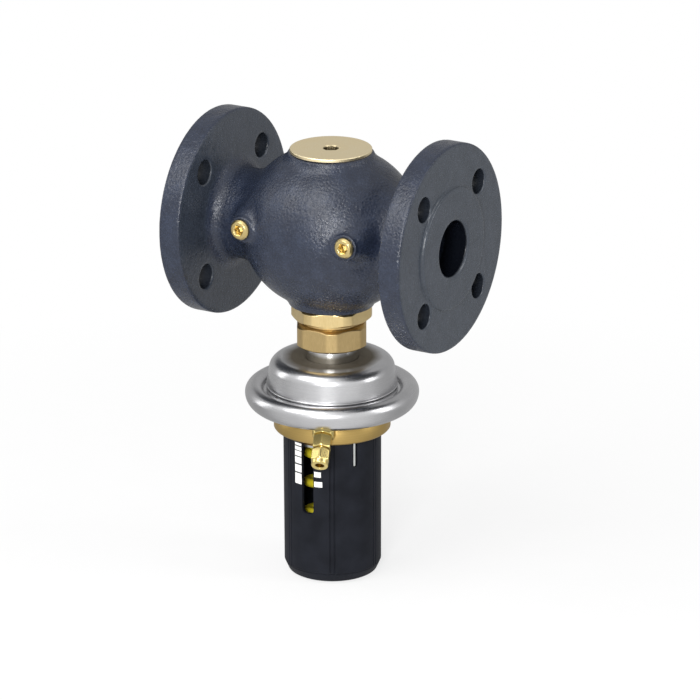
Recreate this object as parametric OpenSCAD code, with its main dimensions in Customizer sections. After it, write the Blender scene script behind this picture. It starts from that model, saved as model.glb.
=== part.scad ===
// Self-acting differential pressure regulator for a DN 40 return pipe, in millimetres.
// X runs along the pipe and Z along the valve, and the origin is where the two axes cross.
// The front faces -Y. A bearing is counted from the front towards +X.

/* [Flanges] */
// Bore of the two ports
bore_d = 40; // [36:1:42]
// Distance between the two flange faces
face_to_face = 200; // [190:1:230]
// Outside diameter of each flange
flange_d = 150; // [145:1:165]
// Thickness of each flange with its raised face
flange_t = 19; // [16:0.5:22]
// Distance between the raised face and the bolt holes
raised_gap = 2; // [1:0.5:5]
// Height of the raised face
raised_h = 2; // [1:0.5:3]
// Chamfer at the mouth of each port
mouth_chamfer = 1.5; // [0.5:0.5:3]
// Chamfer on the two edges of each flange's rim
rim_chamfer = 1; // [0.5:0.5:2]
// Distance from the middle of a bolt hole to the flange's rim
bolt_edge = 20; // [17:0.5:22]
// Diameter of each bolt hole
bolt_hole_d = 18; // [14:1:19]
// Bolt holes in each flange
bolt_count = 4; // [4:4:8]

/* [Valve body] */
// Diameter of the belly
belly_d = 118; // [114:1:122]
// Distance between the centres of the belly's two round ends
belly_stretch = 12; // [6:1:18]
// Wall of the belly
body_wall = 8; // [6:0.5:9]
// Outside diameter of the two necks
neck_d = 66; // [62:1:70]
// Fillet between a neck and the belly
belly_fillet = 8; // [5:1:10]
// Fillet between a neck and its flange
flange_fillet = 10; // [6:1:12]
// Height of the top boss face over the pipe's axis, and depth of the bottom one
boss_reach = 56; // [54:0.5:58]
// Diameter of the two bosses
boss_d = 60; // [59:0.5:64]
// Extra radius and height of the cone at the foot of each boss
boss_foot = 4; // [2:0.5:5]
// Height of that cone's upper edge below the boss face
boss_land = 2.5; // [1:0.5:4]
// Thickness of the wall between inlet and outlet
web_t = 7; // [5:0.5:9]
// Half length of that wall's level stretch
web_level = 24; // [23:0.5:28]
// Slope of that wall beside its level stretch, in degrees
web_slope = 43; // [38:1:48]
// Height of the raised ring round the seat's hole
web_boss_h = 2.5; // [1:0.5:4]

/* [Port bosses] */
// Distance of each port boss from the valve's axis
port_x = 42.5; // [40:0.5:45]
// Height of the port bosses over the pipe's axis
port_z = 6.8; // [0:0.2:10]
// Distance of a port boss's face from the middle plane
port_face = 54; // [52:0.5:57]
// Diameter of a port boss at its face
port_boss_d = 18.4; // [17:0.2:21]
// Length of the straight end of a port boss
port_land = 3; // [2:0.5:5]
// Diameter of a plug
plug_d = 13.4; // [10:0.2:14]
// Length of a plug in its boss
plug_l = 14; // [10:0.5:16]
// Height of a plug's head over its boss
plug_head = 1.8; // [1:0.2:4]
// Width of a plug's hexagon socket across its flats
plug_socket = 6; // [5:0.5:7]
// Depth of a plug's socket
plug_socket_depth = 5; // [3:0.5:7]

/* [Top cover] */
// Diameter of the cover's disc
cover_d = 58.6; // [56:0.2:60]
// Thickness of the cover's disc
cover_t = 2.7; // [2:0.1:5]
// Diameter of the cover's thread
cover_thread_d = 47.8; // [46:0.2:49]
// Length of the cover's thread
cover_thread_l = 12; // [10:0.5:14]
// Width of the cover's hexagon socket across its flats
cover_socket = 10; // [8:0.5:12]
// Depth of the cover's socket
cover_socket_depth = 6; // [4:0.5:7]
// Thickness of the flat gaskets under the cover and on the insert
gasket_t = 0.6; // [0.4:0.1:1.5]

/* [Seat and balance] */
// Bore of the seat
seat_bore_d = 31; // [28:0.5:32]
// Outside diameter of the seat in its hole
seat_d = 36; // [35:0.5:38]
// Diameter of the seat's flange
seat_flange_d = 40; // [40:0.5:44]
// Thickness of the seat's flange
seat_flange_t = 2; // [1.5:0.5:3]
// Travel of the cone from open to shut
stroke = 10; // [8:0.5:10]
// Diameter of the cone's disc
cone_d = 35.6; // [34:0.2:37]
// Thickness of the cone's disc
cone_t = 6; // [4:0.5:7]
// Height of the shaped plug above the cone's disc
plug_h = 8; // [5:0.5:8]
// Diameter of the shaped plug's top
plug_top_d = 20; // [16:0.5:24]
// Diameter of the cone's hub
cone_hub_d = 16; // [14:0.5:20]
// Height of the cone's hub below its disc
cone_hub_h = 5.5; // [4:0.5:7]
// Inside diameter of the balance cylinder
cylinder_bore_d = 30.6; // [28:0.2:32]
// Wall of the balance cylinder
cylinder_wall = 3.7; // [2.5:0.1:4.5]
// Height of the balance cylinder's lower end over the pipe's axis
cylinder_z = 18; // [15:0.5:19]
// Depth of the balance cylinder's seat in the cover
cylinder_seat = 4; // [3:0.5:5]
// Height of the balance piston's underside over the pipe's axis, at rest
piston_z = 20; // [19.5:0.5:22]
// Length of the balance piston
piston_l = 10; // [8:0.5:11]

/* [Insert and union nut] */
// Diameter of the insert's thread
insert_thread_d = 43.8; // [42:0.2:46]
// Length of the insert's thread
insert_thread_l = 14; // [12:0.5:15]
// Width of the insert's hexagon across its flats
insert_hex_af = 53.6; // [52:0.2:56]
// Diameter to which the insert's hexagon is turned
insert_hex_turned = 58; // [57:0.5:60]
// Height of the insert's hexagon
insert_hex_h = 10.3; // [8:0.1:14]
// Bearing of the insert's front flat, in degrees
insert_hex_bearing = 23.8; // [0:0.2:60]
// Width of the insert's collar round its outlet thread
insert_collar_w = 1.05; // [0.8:0.05:3]
// Height of the insert's collar
insert_collar_h = 3; // [2:0.5:5]
// Height of the insert's outlet thread over the neck's collar, on each side
nipple_step = 0.25; // [0.1:0.05:0.8]
// Length of the insert's outlet thread
nipple_l = 9.6; // [8:0.2:12]
// Wall of the union nut between its thread and a flat
nut_wall = 3.85; // [3.2:0.05:5]
// How far the union nut's turned corners stand out over its flats
nut_corner = 1.85; // [1:0.05:3]
// Height of the union nut
nut_h = 16.9; // [15:0.1:20]
// Chamfer of the insert's hexagon and the union nut, along the axis
hex_chamfer = 1.6; // [0.8:0.2:2.2]
// Diameter of the guide bush
bush_d = 22; // [20:0.5:24]
// Length of the guide bush
bush_l = 26; // [20:1:28]
// Height of one stem seal
seal_h = 2; // [1.5:0.1:2.5]

/* [Neck and casing] */
// Outside diameter of the neck
tube_d = 38.5; // [34:0.5:38.5]
// Wall of the neck
tube_wall = 2.75; // [2:0.25:3.5]
// Width of the neck's collar round the tube
tube_collar_w = 1.45; // [1.2:0.05:3]
// Height of the neck's collar
tube_collar_h = 2; // [1.5:0.5:3]
// Length of the neck between its collar and the casing
tube_l = 14.3; // [12:0.1:18]
// Thickness of the union's gasket
union_gasket_t = 1; // [0.6:0.2:2]
// Thickness of the casing's steel sheet
sheet_t = 1.6; // [1.2:0.1:2]
// Height of the upper casing over the clamped edge
bell_h = 24.2; // [23:0.2:28]
// How far the upper casing's shoulder begins inside the lower casing's flange
bell_inset = 21.1; // [19:0.1:24]
// Radius of the upper casing's shoulder
bell_shoulder = 9; // [7:0.5:10]
// Lean of the upper casing's wall, in degrees
bell_lean = 8.4; // [4:0.2:9]
// Depth of the upper casing's wall below the middle of its shoulder
bell_wall_h = 11; // [10:0.2:11.6]
// How far the upper casing's edge stays inside the lower casing's flange
clamp_inset = 1.5; // [1:0.5:3]
// How far the rolled rim stands out over the lower casing's flange
rim_reach = 5.25; // [4.5:0.25:7]
// Radius of the rolled rim's upper turn
rim_turn = 7; // [6:0.1:7.5]

/* [Lower casing] */
// How far the lower casing's ring stays inside its flange
base_inset = 15.3; // [14:0.1:18]
// Height of the lower casing's clamped flange
base_flange_h = 7.8; // [6:0.2:9]
// Radius of the lower casing's clamped flange
base_flange_r = 57.5; // [56:0.5:58]
// Height of the lower casing's ring below its flange
base_ring_h = 17.2; // [16:0.2:20]
// Depth of the diaphragm chamber below the clamped edge
chamber_h = 12; // [11.5:0.5:13]
// Wall of the lower casing's ring round the diaphragm chamber's floor
chamber_wall = 4.2; // [3.5:0.1:6]
// Diameter of the hub that carries the handle
hub_d = 63.6; // [60:0.2:64]
// Height of that hub
hub_h = 5.4; // [5:0.1:7]
// Diameter of the gland bush
gland_d = 22; // [20:0.5:26]
// Gap round the diaphragm's plates in the chamber
plate_gap = 2; // [2:0.5:6]
// Thickness of the diaphragm's plates
plate_t = 3; // [2:0.5:3]
// Thickness of the diaphragm
diaphragm_t = 1.5; // [1:0.1:2]
// Thickness of the diaphragm's bead
bead_t = 2.4; // [2:0.1:3]

/* [Sensing port] */
// Bearing of the sensing port, in degrees
port_bearing = 22.5; // [0:0.5:60]
// Dip of the sensing port below the level, in degrees
port_dip = 39; // [36:1:42]
// Diameter of the boss round the sensing port
sense_boss_d = 18.9; // [16:0.1:20]
// Length of that boss outside the ring
sense_boss_l = 5.5; // [4.5:0.5:7]
// Width of the fitting's hexagons across their flats
fitting_af = 12.6; // [12:0.2:14]
// Length of the fitting body's hexagon
fitting_hex_l = 10.5; // [8:0.5:14]
// Length of the fitting's nut
fitting_nut_l = 12.4; // [11:0.2:14]
// Diameter of the tube that the fitting takes
sense_tube_d = 6; // [5:0.5:6.5]

/* [Setting handle] */
// Outside diameter of the handle at its top
handle_d = 70.8; // [70:0.2:74]
// Taper of the handle's radius from top to bottom
handle_taper = 0.2; // [0:0.1:0.6]
// Wall of the handle
handle_wall = 3; // [2.8:0.1:3.4]
// Length of the handle's wall
handle_l = 101.8; // [100:0.2:112]
// Width of the window
window_w = 9.4; // [8:0.2:12]
// Length of the window from the handle's top edge
window_l = 56.3; // [50:0.1:60]
// Radius of the window's lower corners
window_corner = 3.2; // [2:0.1:3.8]
// Width of the narrow slot
slot_w = 3.8; // [3:0.1:4.2]
// Length of the narrow slot
slot_l = 20.2; // [16:0.1:24]
// Bearing of the narrow slot, in degrees
slot_bearing = 57.8; // [50:0.2:66]
// Diameter of the locking pin
pin_d = 2.4; // [1.6:0.1:2.8]
// Length of the locking pin
pin_l = 19.2; // [14:0.1:19.4]
// Keyways inside the handle, and pairs of lines outside
key_count = 6; // [4:2:8]
// Width of a keyway
key_w = 6; // [5:0.5:7]
// Depth of a keyway
key_depth = 1.5; // [1:0.1:1.6]
// Width of one line
line_w = 0.8; // [0.5:0.1:1]
// Depth of one line
line_depth = 0.5; // [0.3:0.1:0.6]
// Distance between the two lines of a pair
line_pitch = 3.1; // [2.5:0.1:3.5]
// Radius of the cap's lower edge
cap_edge_r = 32; // [30:0.2:33]
// Height of the cap below the handle's wall
cap_h = 7.15; // [6:0.05:9]

/* [Setting spring] */
// Thickness of the spring's wire
wire_d = 6.5; // [5.5:0.1:6.6]
// Outside diameter of the spring
spring_d = 43; // [40:0.5:46]
// Turns between the closed end turns
active_turns = 2.5; // [2.5:0.5:3]
// Height of one closed end turn
closed_pitch = 7; // [7:0.1:7.6]
// Thickness of the spring's seat under the casing
spring_seat_t = 2; // [1.5:0.5:3]
// Thickness of the plate that carries the spring
spring_plate_t = 2.5; // [2:0.5:4]
// Thickness of the thrust washer
washer_t = 1.5; // [1:0.5:2]
// Height of the setting nut
setting_nut_h = 8.5; // [8:0.5:9]
// Gap between the setting nut, at its lowest, and the cap
nut_room = 1.2; // [0.8:0.1:4]
// Bearing of the spring's upper end, in degrees
spring_bearing = -21; // [-180:1:180]

/* [Stems] */
// Diameter of the valve's stem
stem_d = 10; // [8:0.5:10]
// Diameter of the stem's shoulder between cone and piston
shoulder_d = 13; // [12.5:0.5:14]
// Diameter of the actuator's stem above its collar
socket_d = 14; // [13:0.5:15]
// Diameter of the actuator's collar below the diaphragm
collar_d = 20; // [18:0.5:21]
// Thickness of that collar
collar_t = 3; // [2:0.5:3]
// Diameter of the actuator's threaded stem
rod_d = 12; // [10:0.5:12.5]
// Depth of the valve stem's end in the actuator's stem
socket_depth = 8; // [6:0.5:10]

/* [Clearances] */
// Gap on each side between pieces that fit or run in each other
fit_gap = 0.05; // [0.02:0.01:0.08]
// Gap between pieces that move past each other
move_gap = 0.3; // [0.25:0.05:0.4]
// Gap between the cone and its seat when shut
shut_gap = 0.1; // [0.05:0.05:0.2]

/* [Hidden] */
$fn = 96;

// How far a cut runs past the face it leaves
over = 1;
// How far a fillet's circle laps over the faces that it joins
lap = 0.02;
// Straight pieces in a quarter of a rounded outline
arc_steps = 8;

// Flanges and body
face_x = face_to_face / 2;
flange_r = flange_d / 2;
bolt_circle_r = flange_r - bolt_edge;
raised_r = bolt_circle_r - bolt_hole_d / 2 - raised_gap;
bore_r = bore_d / 2;
belly_r = belly_d / 2;
belly_shift = belly_stretch / 2;
cavity_r = belly_r - body_wall;
neck_r = neck_d / 2;
boss_r = boss_d / 2;
flange_back = face_x - flange_t;
belly_fillet_reach = belly_r + belly_fillet;
belly_fillet_x = belly_shift + sqrt(pow(belly_fillet_reach, 2) - pow(neck_r + belly_fillet, 2));
belly_touch_share = belly_r / belly_fillet_reach;
belly_touch_x = belly_shift + (belly_fillet_x - belly_shift) * belly_touch_share;
belly_touch_r = (neck_r + belly_fillet) * belly_touch_share;
bore_end_x = belly_shift + sqrt(pow(cavity_r, 2) - pow(bore_r, 2));
port_r = port_boss_d / 2;
// Radius and distance of the two lower steps of a port boss, from the steps above them
port_draft_shares = [[0.41, 0.38], [0.63, 1.03]];

// Web between inlet and outlet, level round the seat
web_low = -web_t / 2 + seat_flange_t / 2;
web_high = web_low + web_t;
web_mid = (web_low + web_high) / 2;
web_rise = web_t / cos(web_slope);
web_run = belly_r + belly_shift;
web_drop = (web_run - web_level) * tan(web_slope);
land_z = web_high + web_boss_h;

// Seat and cone
seat_r = seat_d / 2;
seat_bore_r = seat_bore_d / 2;
seat_flange_r = seat_flange_d / 2;
seat_face_z = web_low - seat_flange_t;
cone_z = seat_face_z - stroke - shut_gap;
cone_r = cone_d / 2;
plug_base_r = seat_bore_r - move_gap - fit_gap;
hub_z = cone_z - cone_t - cone_hub_h;
cone_top_z = cone_z + plug_h;
cone_seal_t = cone_t / 3;
cone_seal_r = (cone_r + seat_bore_r) / 2;
cone_seal_w = (cone_r - seat_bore_r) / 2;
cone_nut_h = stem_d / 2;
cylinder_r = cylinder_bore_d / 2 + cylinder_wall;
piston_r = cylinder_bore_d / 2 - fit_gap;
piston_groove = piston_l / 3;
piston_nut_h = stem_d * 0.45;
stem_r = stem_d / 2;
shoulder_r = shoulder_d / 2;
// A nut's width across its flats is so many times its thread
nut_af_share = 1.7;

// Union, from the neck outward
tube_r = tube_d / 2;
tube_collar_r = tube_r + tube_collar_w;
nipple_r = tube_collar_r + nipple_step;
insert_collar_r = nipple_r + insert_collar_w;
nut_af = 2 * (nipple_r + nut_wall);

// Levels below the body, from the top down
insert_z = -boss_reach - gasket_t;
collar_z = insert_z - insert_hex_h;
nipple_z = collar_z - insert_collar_h;
gasket_z = nipple_z - nipple_l;
tube_z = gasket_z - union_gasket_t;
tube_collar_z = tube_z - tube_collar_h;
union_z = nipple_z - move_gap;
bell_z = tube_collar_z - tube_l;
clamp_z = bell_z - bell_h - sheet_t;
bead_z = clamp_z - bead_t;
base_flange_z = bead_z - base_flange_h;
base_z = base_flange_z - base_ring_h;
hub_low_z = base_z - hub_h;
seat_low_z = hub_low_z - spring_seat_t;
chamber_z = bead_z - chamber_h;

// Casings and rolled rim, from the clamped flange inward and outward
clamp_r = base_flange_r - clamp_inset;
bell_flat_r = base_flange_r - bell_inset;
base_r = base_flange_r - base_inset;
chamber_r = base_r - chamber_wall;
rim_r = base_flange_r + rim_reach;
rim_z = bead_z + bead_t - sheet_t / 2;
rim_low_z = base_flange_z - fit_gap;
rim_low_turn = rim_z - rim_low_z + sheet_t;
rim_cx = rim_r - rim_turn;
rim_low_cx = rim_r - rim_low_turn;
rim_inner_r = base_r + move_gap;

// Stems
socket_top_z = bell_z + stroke / 2;
socket_low_z = socket_top_z - socket_depth;
disc_z = clamp_z - bead_t / 2 - stroke / 2;
disc_low_z = disc_z - diaphragm_t;
rod_z = disc_low_z - plate_t - collar_t;
socket_r = socket_d / 2;
collar_r = collar_d / 2;
rod_r = rod_d / 2;
plate_r = chamber_r - plate_gap;
plate_nut_h = socket_d * 0.45;
gland_r = gland_d / 2;
gland_flange_r = gland_r * 1.25;
gland_flange_t = sheet_t;
gland_seal_w = rod_r * 0.45;

// Share of the cap's height that its spigot stands up inside the handle
cap_spigot_share = 0.5;

// Spring and its nut, from the cap up
spring_r = (spring_d - wire_d) / 2;
spring_turns = active_turns + 2;
setting_nut_low_z = base_z - move_gap - handle_l + cap_h * cap_spigot_share + nut_room;
setting_nut_z = setting_nut_low_z + setting_nut_h;
washer_z = setting_nut_z + fit_gap + washer_t;
spring_plate_z = washer_z + spring_plate_t;
spring_l = seat_low_z - spring_plate_z - 2 * fit_gap;
spring_pitch = (spring_l - wire_d - 2 * closed_pitch) / active_turns;
ring_steps = 8;
wire_sides = 6;

// Handle
handle_r = handle_d / 2;
handle_inner_r = handle_r - handle_wall;
handle_z = base_z - move_gap;
handle_low_z = handle_z - handle_l;
handle_low_r = handle_r - handle_taper;
hub_r = hub_d / 2;
snap_h = hub_h * 0.28;
snap_z = hub_low_z + move_gap * 2;
snap_depth = handle_inner_r - hub_r + hub_h * 0.2;
cap_floor_z = handle_low_z - cap_h * 0.45;
cap_low_z = handle_low_z - cap_h;
cap_r = handle_low_r - handle_taper * 3;
cap_spigot_h = cap_h * cap_spigot_share;
key_r = handle_inner_r + key_depth;
rod_end_z = cap_floor_z + handle_wall;

// Sensing port and its fitting, measured along its own axis from the ring's wall
port_entry_z = base_flange_z - base_ring_h / 3;
sense_r = sense_tube_d / 2;
spigot_r = fitting_af * 0.39;
thread_l = sense_boss_l - fit_gap;
fitting_hex_end = sense_boss_l + fitting_hex_l;
fitting_nut_start = fitting_hex_end + sense_r / 3;
fitting_end = fitting_nut_start + fitting_nut_l;
spigot_end = fitting_nut_start + fitting_nut_l / 2;
ferrule_l = fitting_nut_l / 5;
nut_seat = spigot_end + ferrule_l + fit_gap * 2;
tube_stop = fitting_hex_end - sense_r;

// Points of an arc about (cx, cy), counter-clockwise if a1 is over a0
function arc(cx, cy, r, a0, a1) =
    let (steps = max(1, ceil(abs(a1 - a0) / 90 * arc_steps)))
    [for (i = [0:steps])
        let (a = a0 + (a1 - a0) * i / steps)
        [cx + r * cos(a), cy + r * sin(a)]];

// A solid of revolution about the valve's axis
module turned(points) {
    rotate_extrude()
        polygon(points);
}

// A plain ring between two levels
module ring(outer_r, inner_r, low, high) {
    difference() {
        translate([0, 0, low])
            cylinder(r = outer_r, h = high - low);
        translate([0, 0, low - over])
            cylinder(r = inner_r, h = high - low + 2 * over);
    }
}

// A hexagonal prism by its width across the flats
module hexagon(af, low, high) {
    translate([0, 0, low])
        cylinder(r = af / 2 / cos(30), h = high - low, $fn = 6);
}

// A hexagon nut with turned corners, on a thread
module hexagon_nut(thread_r, low, high) {
    af = thread_r * 2 * nut_af_share;
    chamfer = (high - low) / 6;
    difference() {
        intersection() {
            hexagon(af, low, high);
            turned([
                [0, low], [af / 2, low], [af / 2 + chamfer * 2, low + chamfer],
                [af / 2 + chamfer * 2, high - chamfer], [af / 2, high], [0, high]
            ]);
        }
        translate([0, 0, low - over])
            cylinder(r = thread_r + fit_gap, h = high - low + 2 * over);
    }
}

// Places what follows on a bearing, facing outward along +X
module on_bearing(bearing) {
    rotate([0, 0, bearing - 90])
        children();
}

// The frame of the sensing port: its axis is +Z, from the ring's wall outward and down
module at_sensing_port() {
    on_bearing(port_bearing)
        translate([base_r, 0, port_entry_z])
            rotate([0, 90 + port_dip, 0])
                children();
}

// The outline of a belly of radius r, as a half section along the pipe
module belly_outline(r) {
    intersection() {
        translate([0, -r - belly_shift])
            square([r, 2 * (r + belly_shift)]);
        union() {
            translate([0, -belly_shift])
                circle(r = r);
            translate([0, belly_shift])
                circle(r = r);
            translate([0, -belly_shift])
                square([r, belly_stretch]);
        }
    }
}

// The belly of radius r, turned about the pipe's axis
module belly(r) {
    rotate([0, 90, 0])
        rotate_extrude()
            belly_outline(r);
}

// A fillet in the corner at p0, between points p1 and p2 on its two sides
module fillet(p0, p1, p2, centre, r) {
    difference() {
        polygon([p0, p1, p2]);
        translate(centre)
            circle(r = r + lap);
    }
}

// One neck with its flange, as a half section along the pipe
module neck_outline() {
    back = flange_back;
    front = face_x - raised_h;
    polygon([
        [0, 0], [neck_r, 0], [neck_r, back], [flange_r - rim_chamfer, back],
        [flange_r, back + rim_chamfer], [flange_r, front - rim_chamfer],
        [flange_r - rim_chamfer, front], [raised_r, front], [raised_r, face_x], [0, face_x]
    ]);
    fillet([neck_r - flange_fillet / 2, back + flange_fillet / 2],
        [neck_r + flange_fillet, back], [neck_r, back - flange_fillet],
        [neck_r + flange_fillet, back - flange_fillet], flange_fillet);
    fillet([neck_r - belly_fillet, belly_touch_x - belly_fillet / 2],
        [neck_r, belly_fillet_x], [belly_touch_r, belly_touch_x],
        [neck_r + belly_fillet, belly_fillet_x], belly_fillet);
}

// Both necks with their flanges
module necks() {
    rotate([0, 90, 0])
        rotate_extrude()
            for (side = [0, 1])
                mirror([0, side])
                    neck_outline();
}

// A boss on the valve's axis, with a cone at its foot
module axis_boss() {
    foot_z = boss_reach - boss_land;
    turned([
        [0, 0], [boss_r + boss_foot, 0], [boss_r + boss_foot, foot_z - boss_foot],
        [boss_r, foot_z], [boss_r, boss_reach], [0, boss_reach]
    ]);
}

// The axis of a port boss becomes +Z, from the middle plane to the front
module at_port(side) {
    translate([side * port_x, 0, port_z])
        rotate([90, 0, 0])
            children();
}

// A tapered boss on the front, from the middle of the wall out to its face
module port_boss() {
    step_z = port_face - port_land;
    turned([
        [0, step_z - port_r * 2], [port_r * (1 + port_draft_shares[1][0]), step_z - port_r * 2],
        [port_r * (1 + port_draft_shares[0][0]), step_z - port_r * port_draft_shares[0][1] * 2],
        [port_r, step_z], [port_r, port_face], [0, port_face]
    ]);
}

// The slanting wall between inlet and outlet, with the raised ring round the seat's hole
module web() {
    reach = cavity_r + body_wall / 2;
    low_left = web_mid - web_drop - web_rise / 2;
    high_right = web_mid + web_drop + web_rise / 2;
    intersection() {
        belly(reach);
        union() {
            translate([0, reach, 0])
                rotate([90, 0, 0])
                    linear_extrude(height = 2 * reach)
                        polygon([
                            [-web_run, low_left], [-web_level, web_low], [web_level, web_low],
                            [web_run, high_right - web_rise], [web_run, high_right],
                            [web_level, web_high], [-web_level, web_high],
                            [-web_run, low_left + web_rise]
                        ]);
            translate([0, 0, web_low])
                cylinder(r = web_level, h = land_z - web_low);
        }
    }
}

// Sub-part: cast body with two flanges, a partition and threaded openings
module valve_body() {
    color("#3d4552")
    difference() {
        union() {
            belly(belly_r);
            necks();
            intersection() {
                belly(norm([boss_reach, boss_r]));
                union() {
                    axis_boss();
                    mirror([0, 0, 1])
                        axis_boss();
                }
            }
            for (side = [-1, 1])
                at_port(side)
                    port_boss();
        }
        difference() {
            belly(cavity_r);
            web();
        }
        for (side = [0, 1])
            mirror([0, 0, side]) {
                translate([0, 0, boss_reach])
                    cylinder(r = boss_r + boss_foot, h = belly_r);
            }
        translate([0, 0, sqrt(pow(cavity_r, 2) - pow(cover_thread_d / 2 + belly_shift, 2)) - over])
            cylinder(r = cover_thread_d / 2 + fit_gap, h = belly_r);
        translate([0, 0, -boss_reach - over])
            cylinder(r = insert_thread_d / 2 + fit_gap,
                h = boss_reach + 2 * over - sqrt(pow(cavity_r, 2) - pow(insert_thread_d / 2 + belly_shift, 2)));
        translate([0, 0, web_low - over])
            cylinder(r = seat_r + fit_gap, h = land_z - web_low + 2 * over);
        for (side = [0, 1])
            mirror([side, 0, 0]) {
                translate([bore_end_x - over, 0, 0])
                    rotate([0, 90, 0])
                        cylinder(r = bore_r, h = face_x - bore_end_x + 2 * over);
                translate([face_x, 0, 0])
                    rotate([0, -90, 0])
                        cylinder(r1 = bore_r + mouth_chamfer, r2 = bore_r, h = mouth_chamfer);
                for (i = [0:bolt_count - 1])
                    rotate([(i + 0.5) * 360 / bolt_count, 0, 0])
                        translate([flange_back - over, bolt_circle_r, 0])
                            rotate([0, 90, 0])
                                cylinder(d = bolt_hole_d, h = flange_t + 2 * over);
            }
        for (side = [-1, 1])
            at_port(side)
                translate([0, 0, port_face - plug_l - fit_gap - body_wall])
                    cylinder(r = plug_d / 2 + fit_gap, h = plug_l + body_wall + over);
    }
}

// Sub-part: screwed cover with a hexagon socket and a recess for the balance cylinder
module top_cover() {
    low = boss_reach - cover_thread_l;
    disc_z = boss_reach + gasket_t;
    top = disc_z + cover_t;
    chamfer = cover_t / 5;
    color("#d9c08a")
    difference() {
        turned([
            [0, low], [cover_thread_d / 2 - chamfer, low], [cover_thread_d / 2, low + chamfer],
            [cover_thread_d / 2, disc_z], [cover_d / 2 - chamfer, disc_z],
            [cover_d / 2, disc_z + chamfer], [cover_d / 2, top - chamfer],
            [cover_d / 2 - chamfer, top], [0, top]
        ]);
        hexagon(cover_socket, top - cover_socket_depth, top + over);
        translate([0, 0, low - over])
            cylinder(r = cylinder_r + fit_gap, h = cylinder_seat + over);
    }
}

// Sub-part: flat gasket under the cover
module cover_gasket() {
    color("#333333")
    ring(cover_d / 2 - cover_t / 2, cover_thread_d / 2 + fit_gap, boss_reach, boss_reach + gasket_t);
}

// Sub-part: two plugs with hexagon sockets in the front bosses
module port_plugs() {
    top = port_face + plug_head;
    chamfer = plug_head / 2;
    color("#c9a24f")
    for (side = [-1, 1])
        at_port(side)
            difference() {
                turned([
                    [0, port_face - plug_l], [plug_d / 2 - chamfer, port_face - plug_l],
                    [plug_d / 2, port_face - plug_l + chamfer], [plug_d / 2, top - chamfer],
                    [plug_d / 2 - chamfer, top], [0, top]
                ]);
                hexagon(plug_socket, top - plug_socket_depth, top + over);
            }
}

// Sub-part: seat with its flange under the partition
module seat_ring() {
    color("#b8bcc2")
    difference() {
        turned([
            [0, seat_face_z], [seat_flange_r, seat_face_z], [seat_flange_r, web_low],
            [seat_r, web_low], [seat_r, land_z], [0, land_z]
        ]);
        translate([0, 0, seat_face_z - over])
            cylinder(r = seat_bore_r, h = land_z - seat_face_z + 2 * over);
    }
}

// Sub-part: sleeve in which the balance piston runs
module balance_cylinder() {
    color("#b8bcc2")
    ring(cylinder_r, cylinder_bore_d / 2, cylinder_z, boss_reach - cover_thread_l + cylinder_seat);
}

// Sub-part: screwed insert with a turned hexagon, a collar and the union's thread
module valve_insert() {
    bore_low = gasket_z + insert_collar_h;
    top = -boss_reach + insert_thread_l;
    af_r = insert_hex_af / 2;
    turned_r = insert_hex_turned / 2;
    color("#d8c48c")
    difference() {
        union() {
            turned([
                [0, gasket_z], [nipple_r, gasket_z], [nipple_r, nipple_z],
                [insert_collar_r, nipple_z], [insert_collar_r, collar_z + hex_chamfer],
                [insert_thread_d / 2, collar_z + hex_chamfer], [insert_thread_d / 2, top], [0, top]
            ]);
            intersection() {
                rotate([0, 0, insert_hex_bearing])
                    hexagon(insert_hex_af, collar_z, insert_z);
                turned([
                    [0, collar_z], [af_r, collar_z], [turned_r, collar_z + hex_chamfer],
                    [turned_r, insert_z - hex_chamfer], [af_r, insert_z], [0, insert_z]
                ]);
            }
        }
        translate([0, 0, bore_low])
            cylinder(r = bush_d / 2 + fit_gap, h = top - bore_low + over);
        translate([0, 0, gasket_z - over])
            cylinder(r = stem_r + move_gap, h = insert_collar_h + 2 * over);
    }
}

// Sub-part: flat gasket on the insert
module insert_gasket() {
    color("#333333")
    ring(insert_hex_af / 2 - gasket_t, insert_thread_d / 2 + fit_gap, insert_z, -boss_reach);
}

// Sub-part: bush that guides the valve's stem
module guide_bush() {
    low = gasket_z + insert_collar_h + 2 * seal_h;
    color("#b98d4c")
    ring(bush_d / 2, stem_r + fit_gap, low, low + bush_l);
}

// Sub-part: two sealing rings under the guide bush
module stem_seals() {
    low = gasket_z + insert_collar_h;
    gap = fit_gap * 2;
    color("#222222")
    for (i = [0, 1])
        ring(bush_d / 2 - fit_gap, stem_r + fit_gap, low + i * seal_h + gap, low + (i + 1) * seal_h);
}

// Sub-part: union nut with a turned hexagon and a shoulder under the neck's collar
module union_nut() {
    low = union_z - nut_h;
    af_r = nut_af / 2;
    turned_r = af_r + nut_corner;
    color("#c8a468")
    difference() {
        intersection() {
            hexagon(nut_af, low, union_z);
            turned([
                [0, low], [af_r - hex_chamfer / 2, low], [turned_r, low + hex_chamfer],
                [turned_r, union_z - hex_chamfer], [af_r - hex_chamfer / 2, union_z], [0, union_z]
            ]);
        }
        translate([0, 0, tube_collar_z])
            cylinder(r = nipple_r + fit_gap, h = nut_h);
        translate([0, 0, low - over])
            cylinder(r = tube_r + move_gap, h = nut_h);
    }
}

// Sub-part: gasket between the insert and the neck
module union_gasket() {
    color("#333333")
    ring(tube_collar_r, tube_r - tube_wall, tube_z, gasket_z);
}

// Sub-part: polished neck with its collar
module neck_tube() {
    color("#c6c8ca")
    difference() {
        turned([
            [0, bell_z - sheet_t], [tube_r, bell_z - sheet_t], [tube_r, tube_collar_z],
            [tube_collar_r, tube_collar_z], [tube_collar_r, tube_z], [0, tube_z]
        ]);
        translate([0, 0, bell_z - sheet_t - over])
            cylinder(r = tube_r - tube_wall, h = tube_z - bell_z + sheet_t + 2 * over);
    }
}

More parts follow.
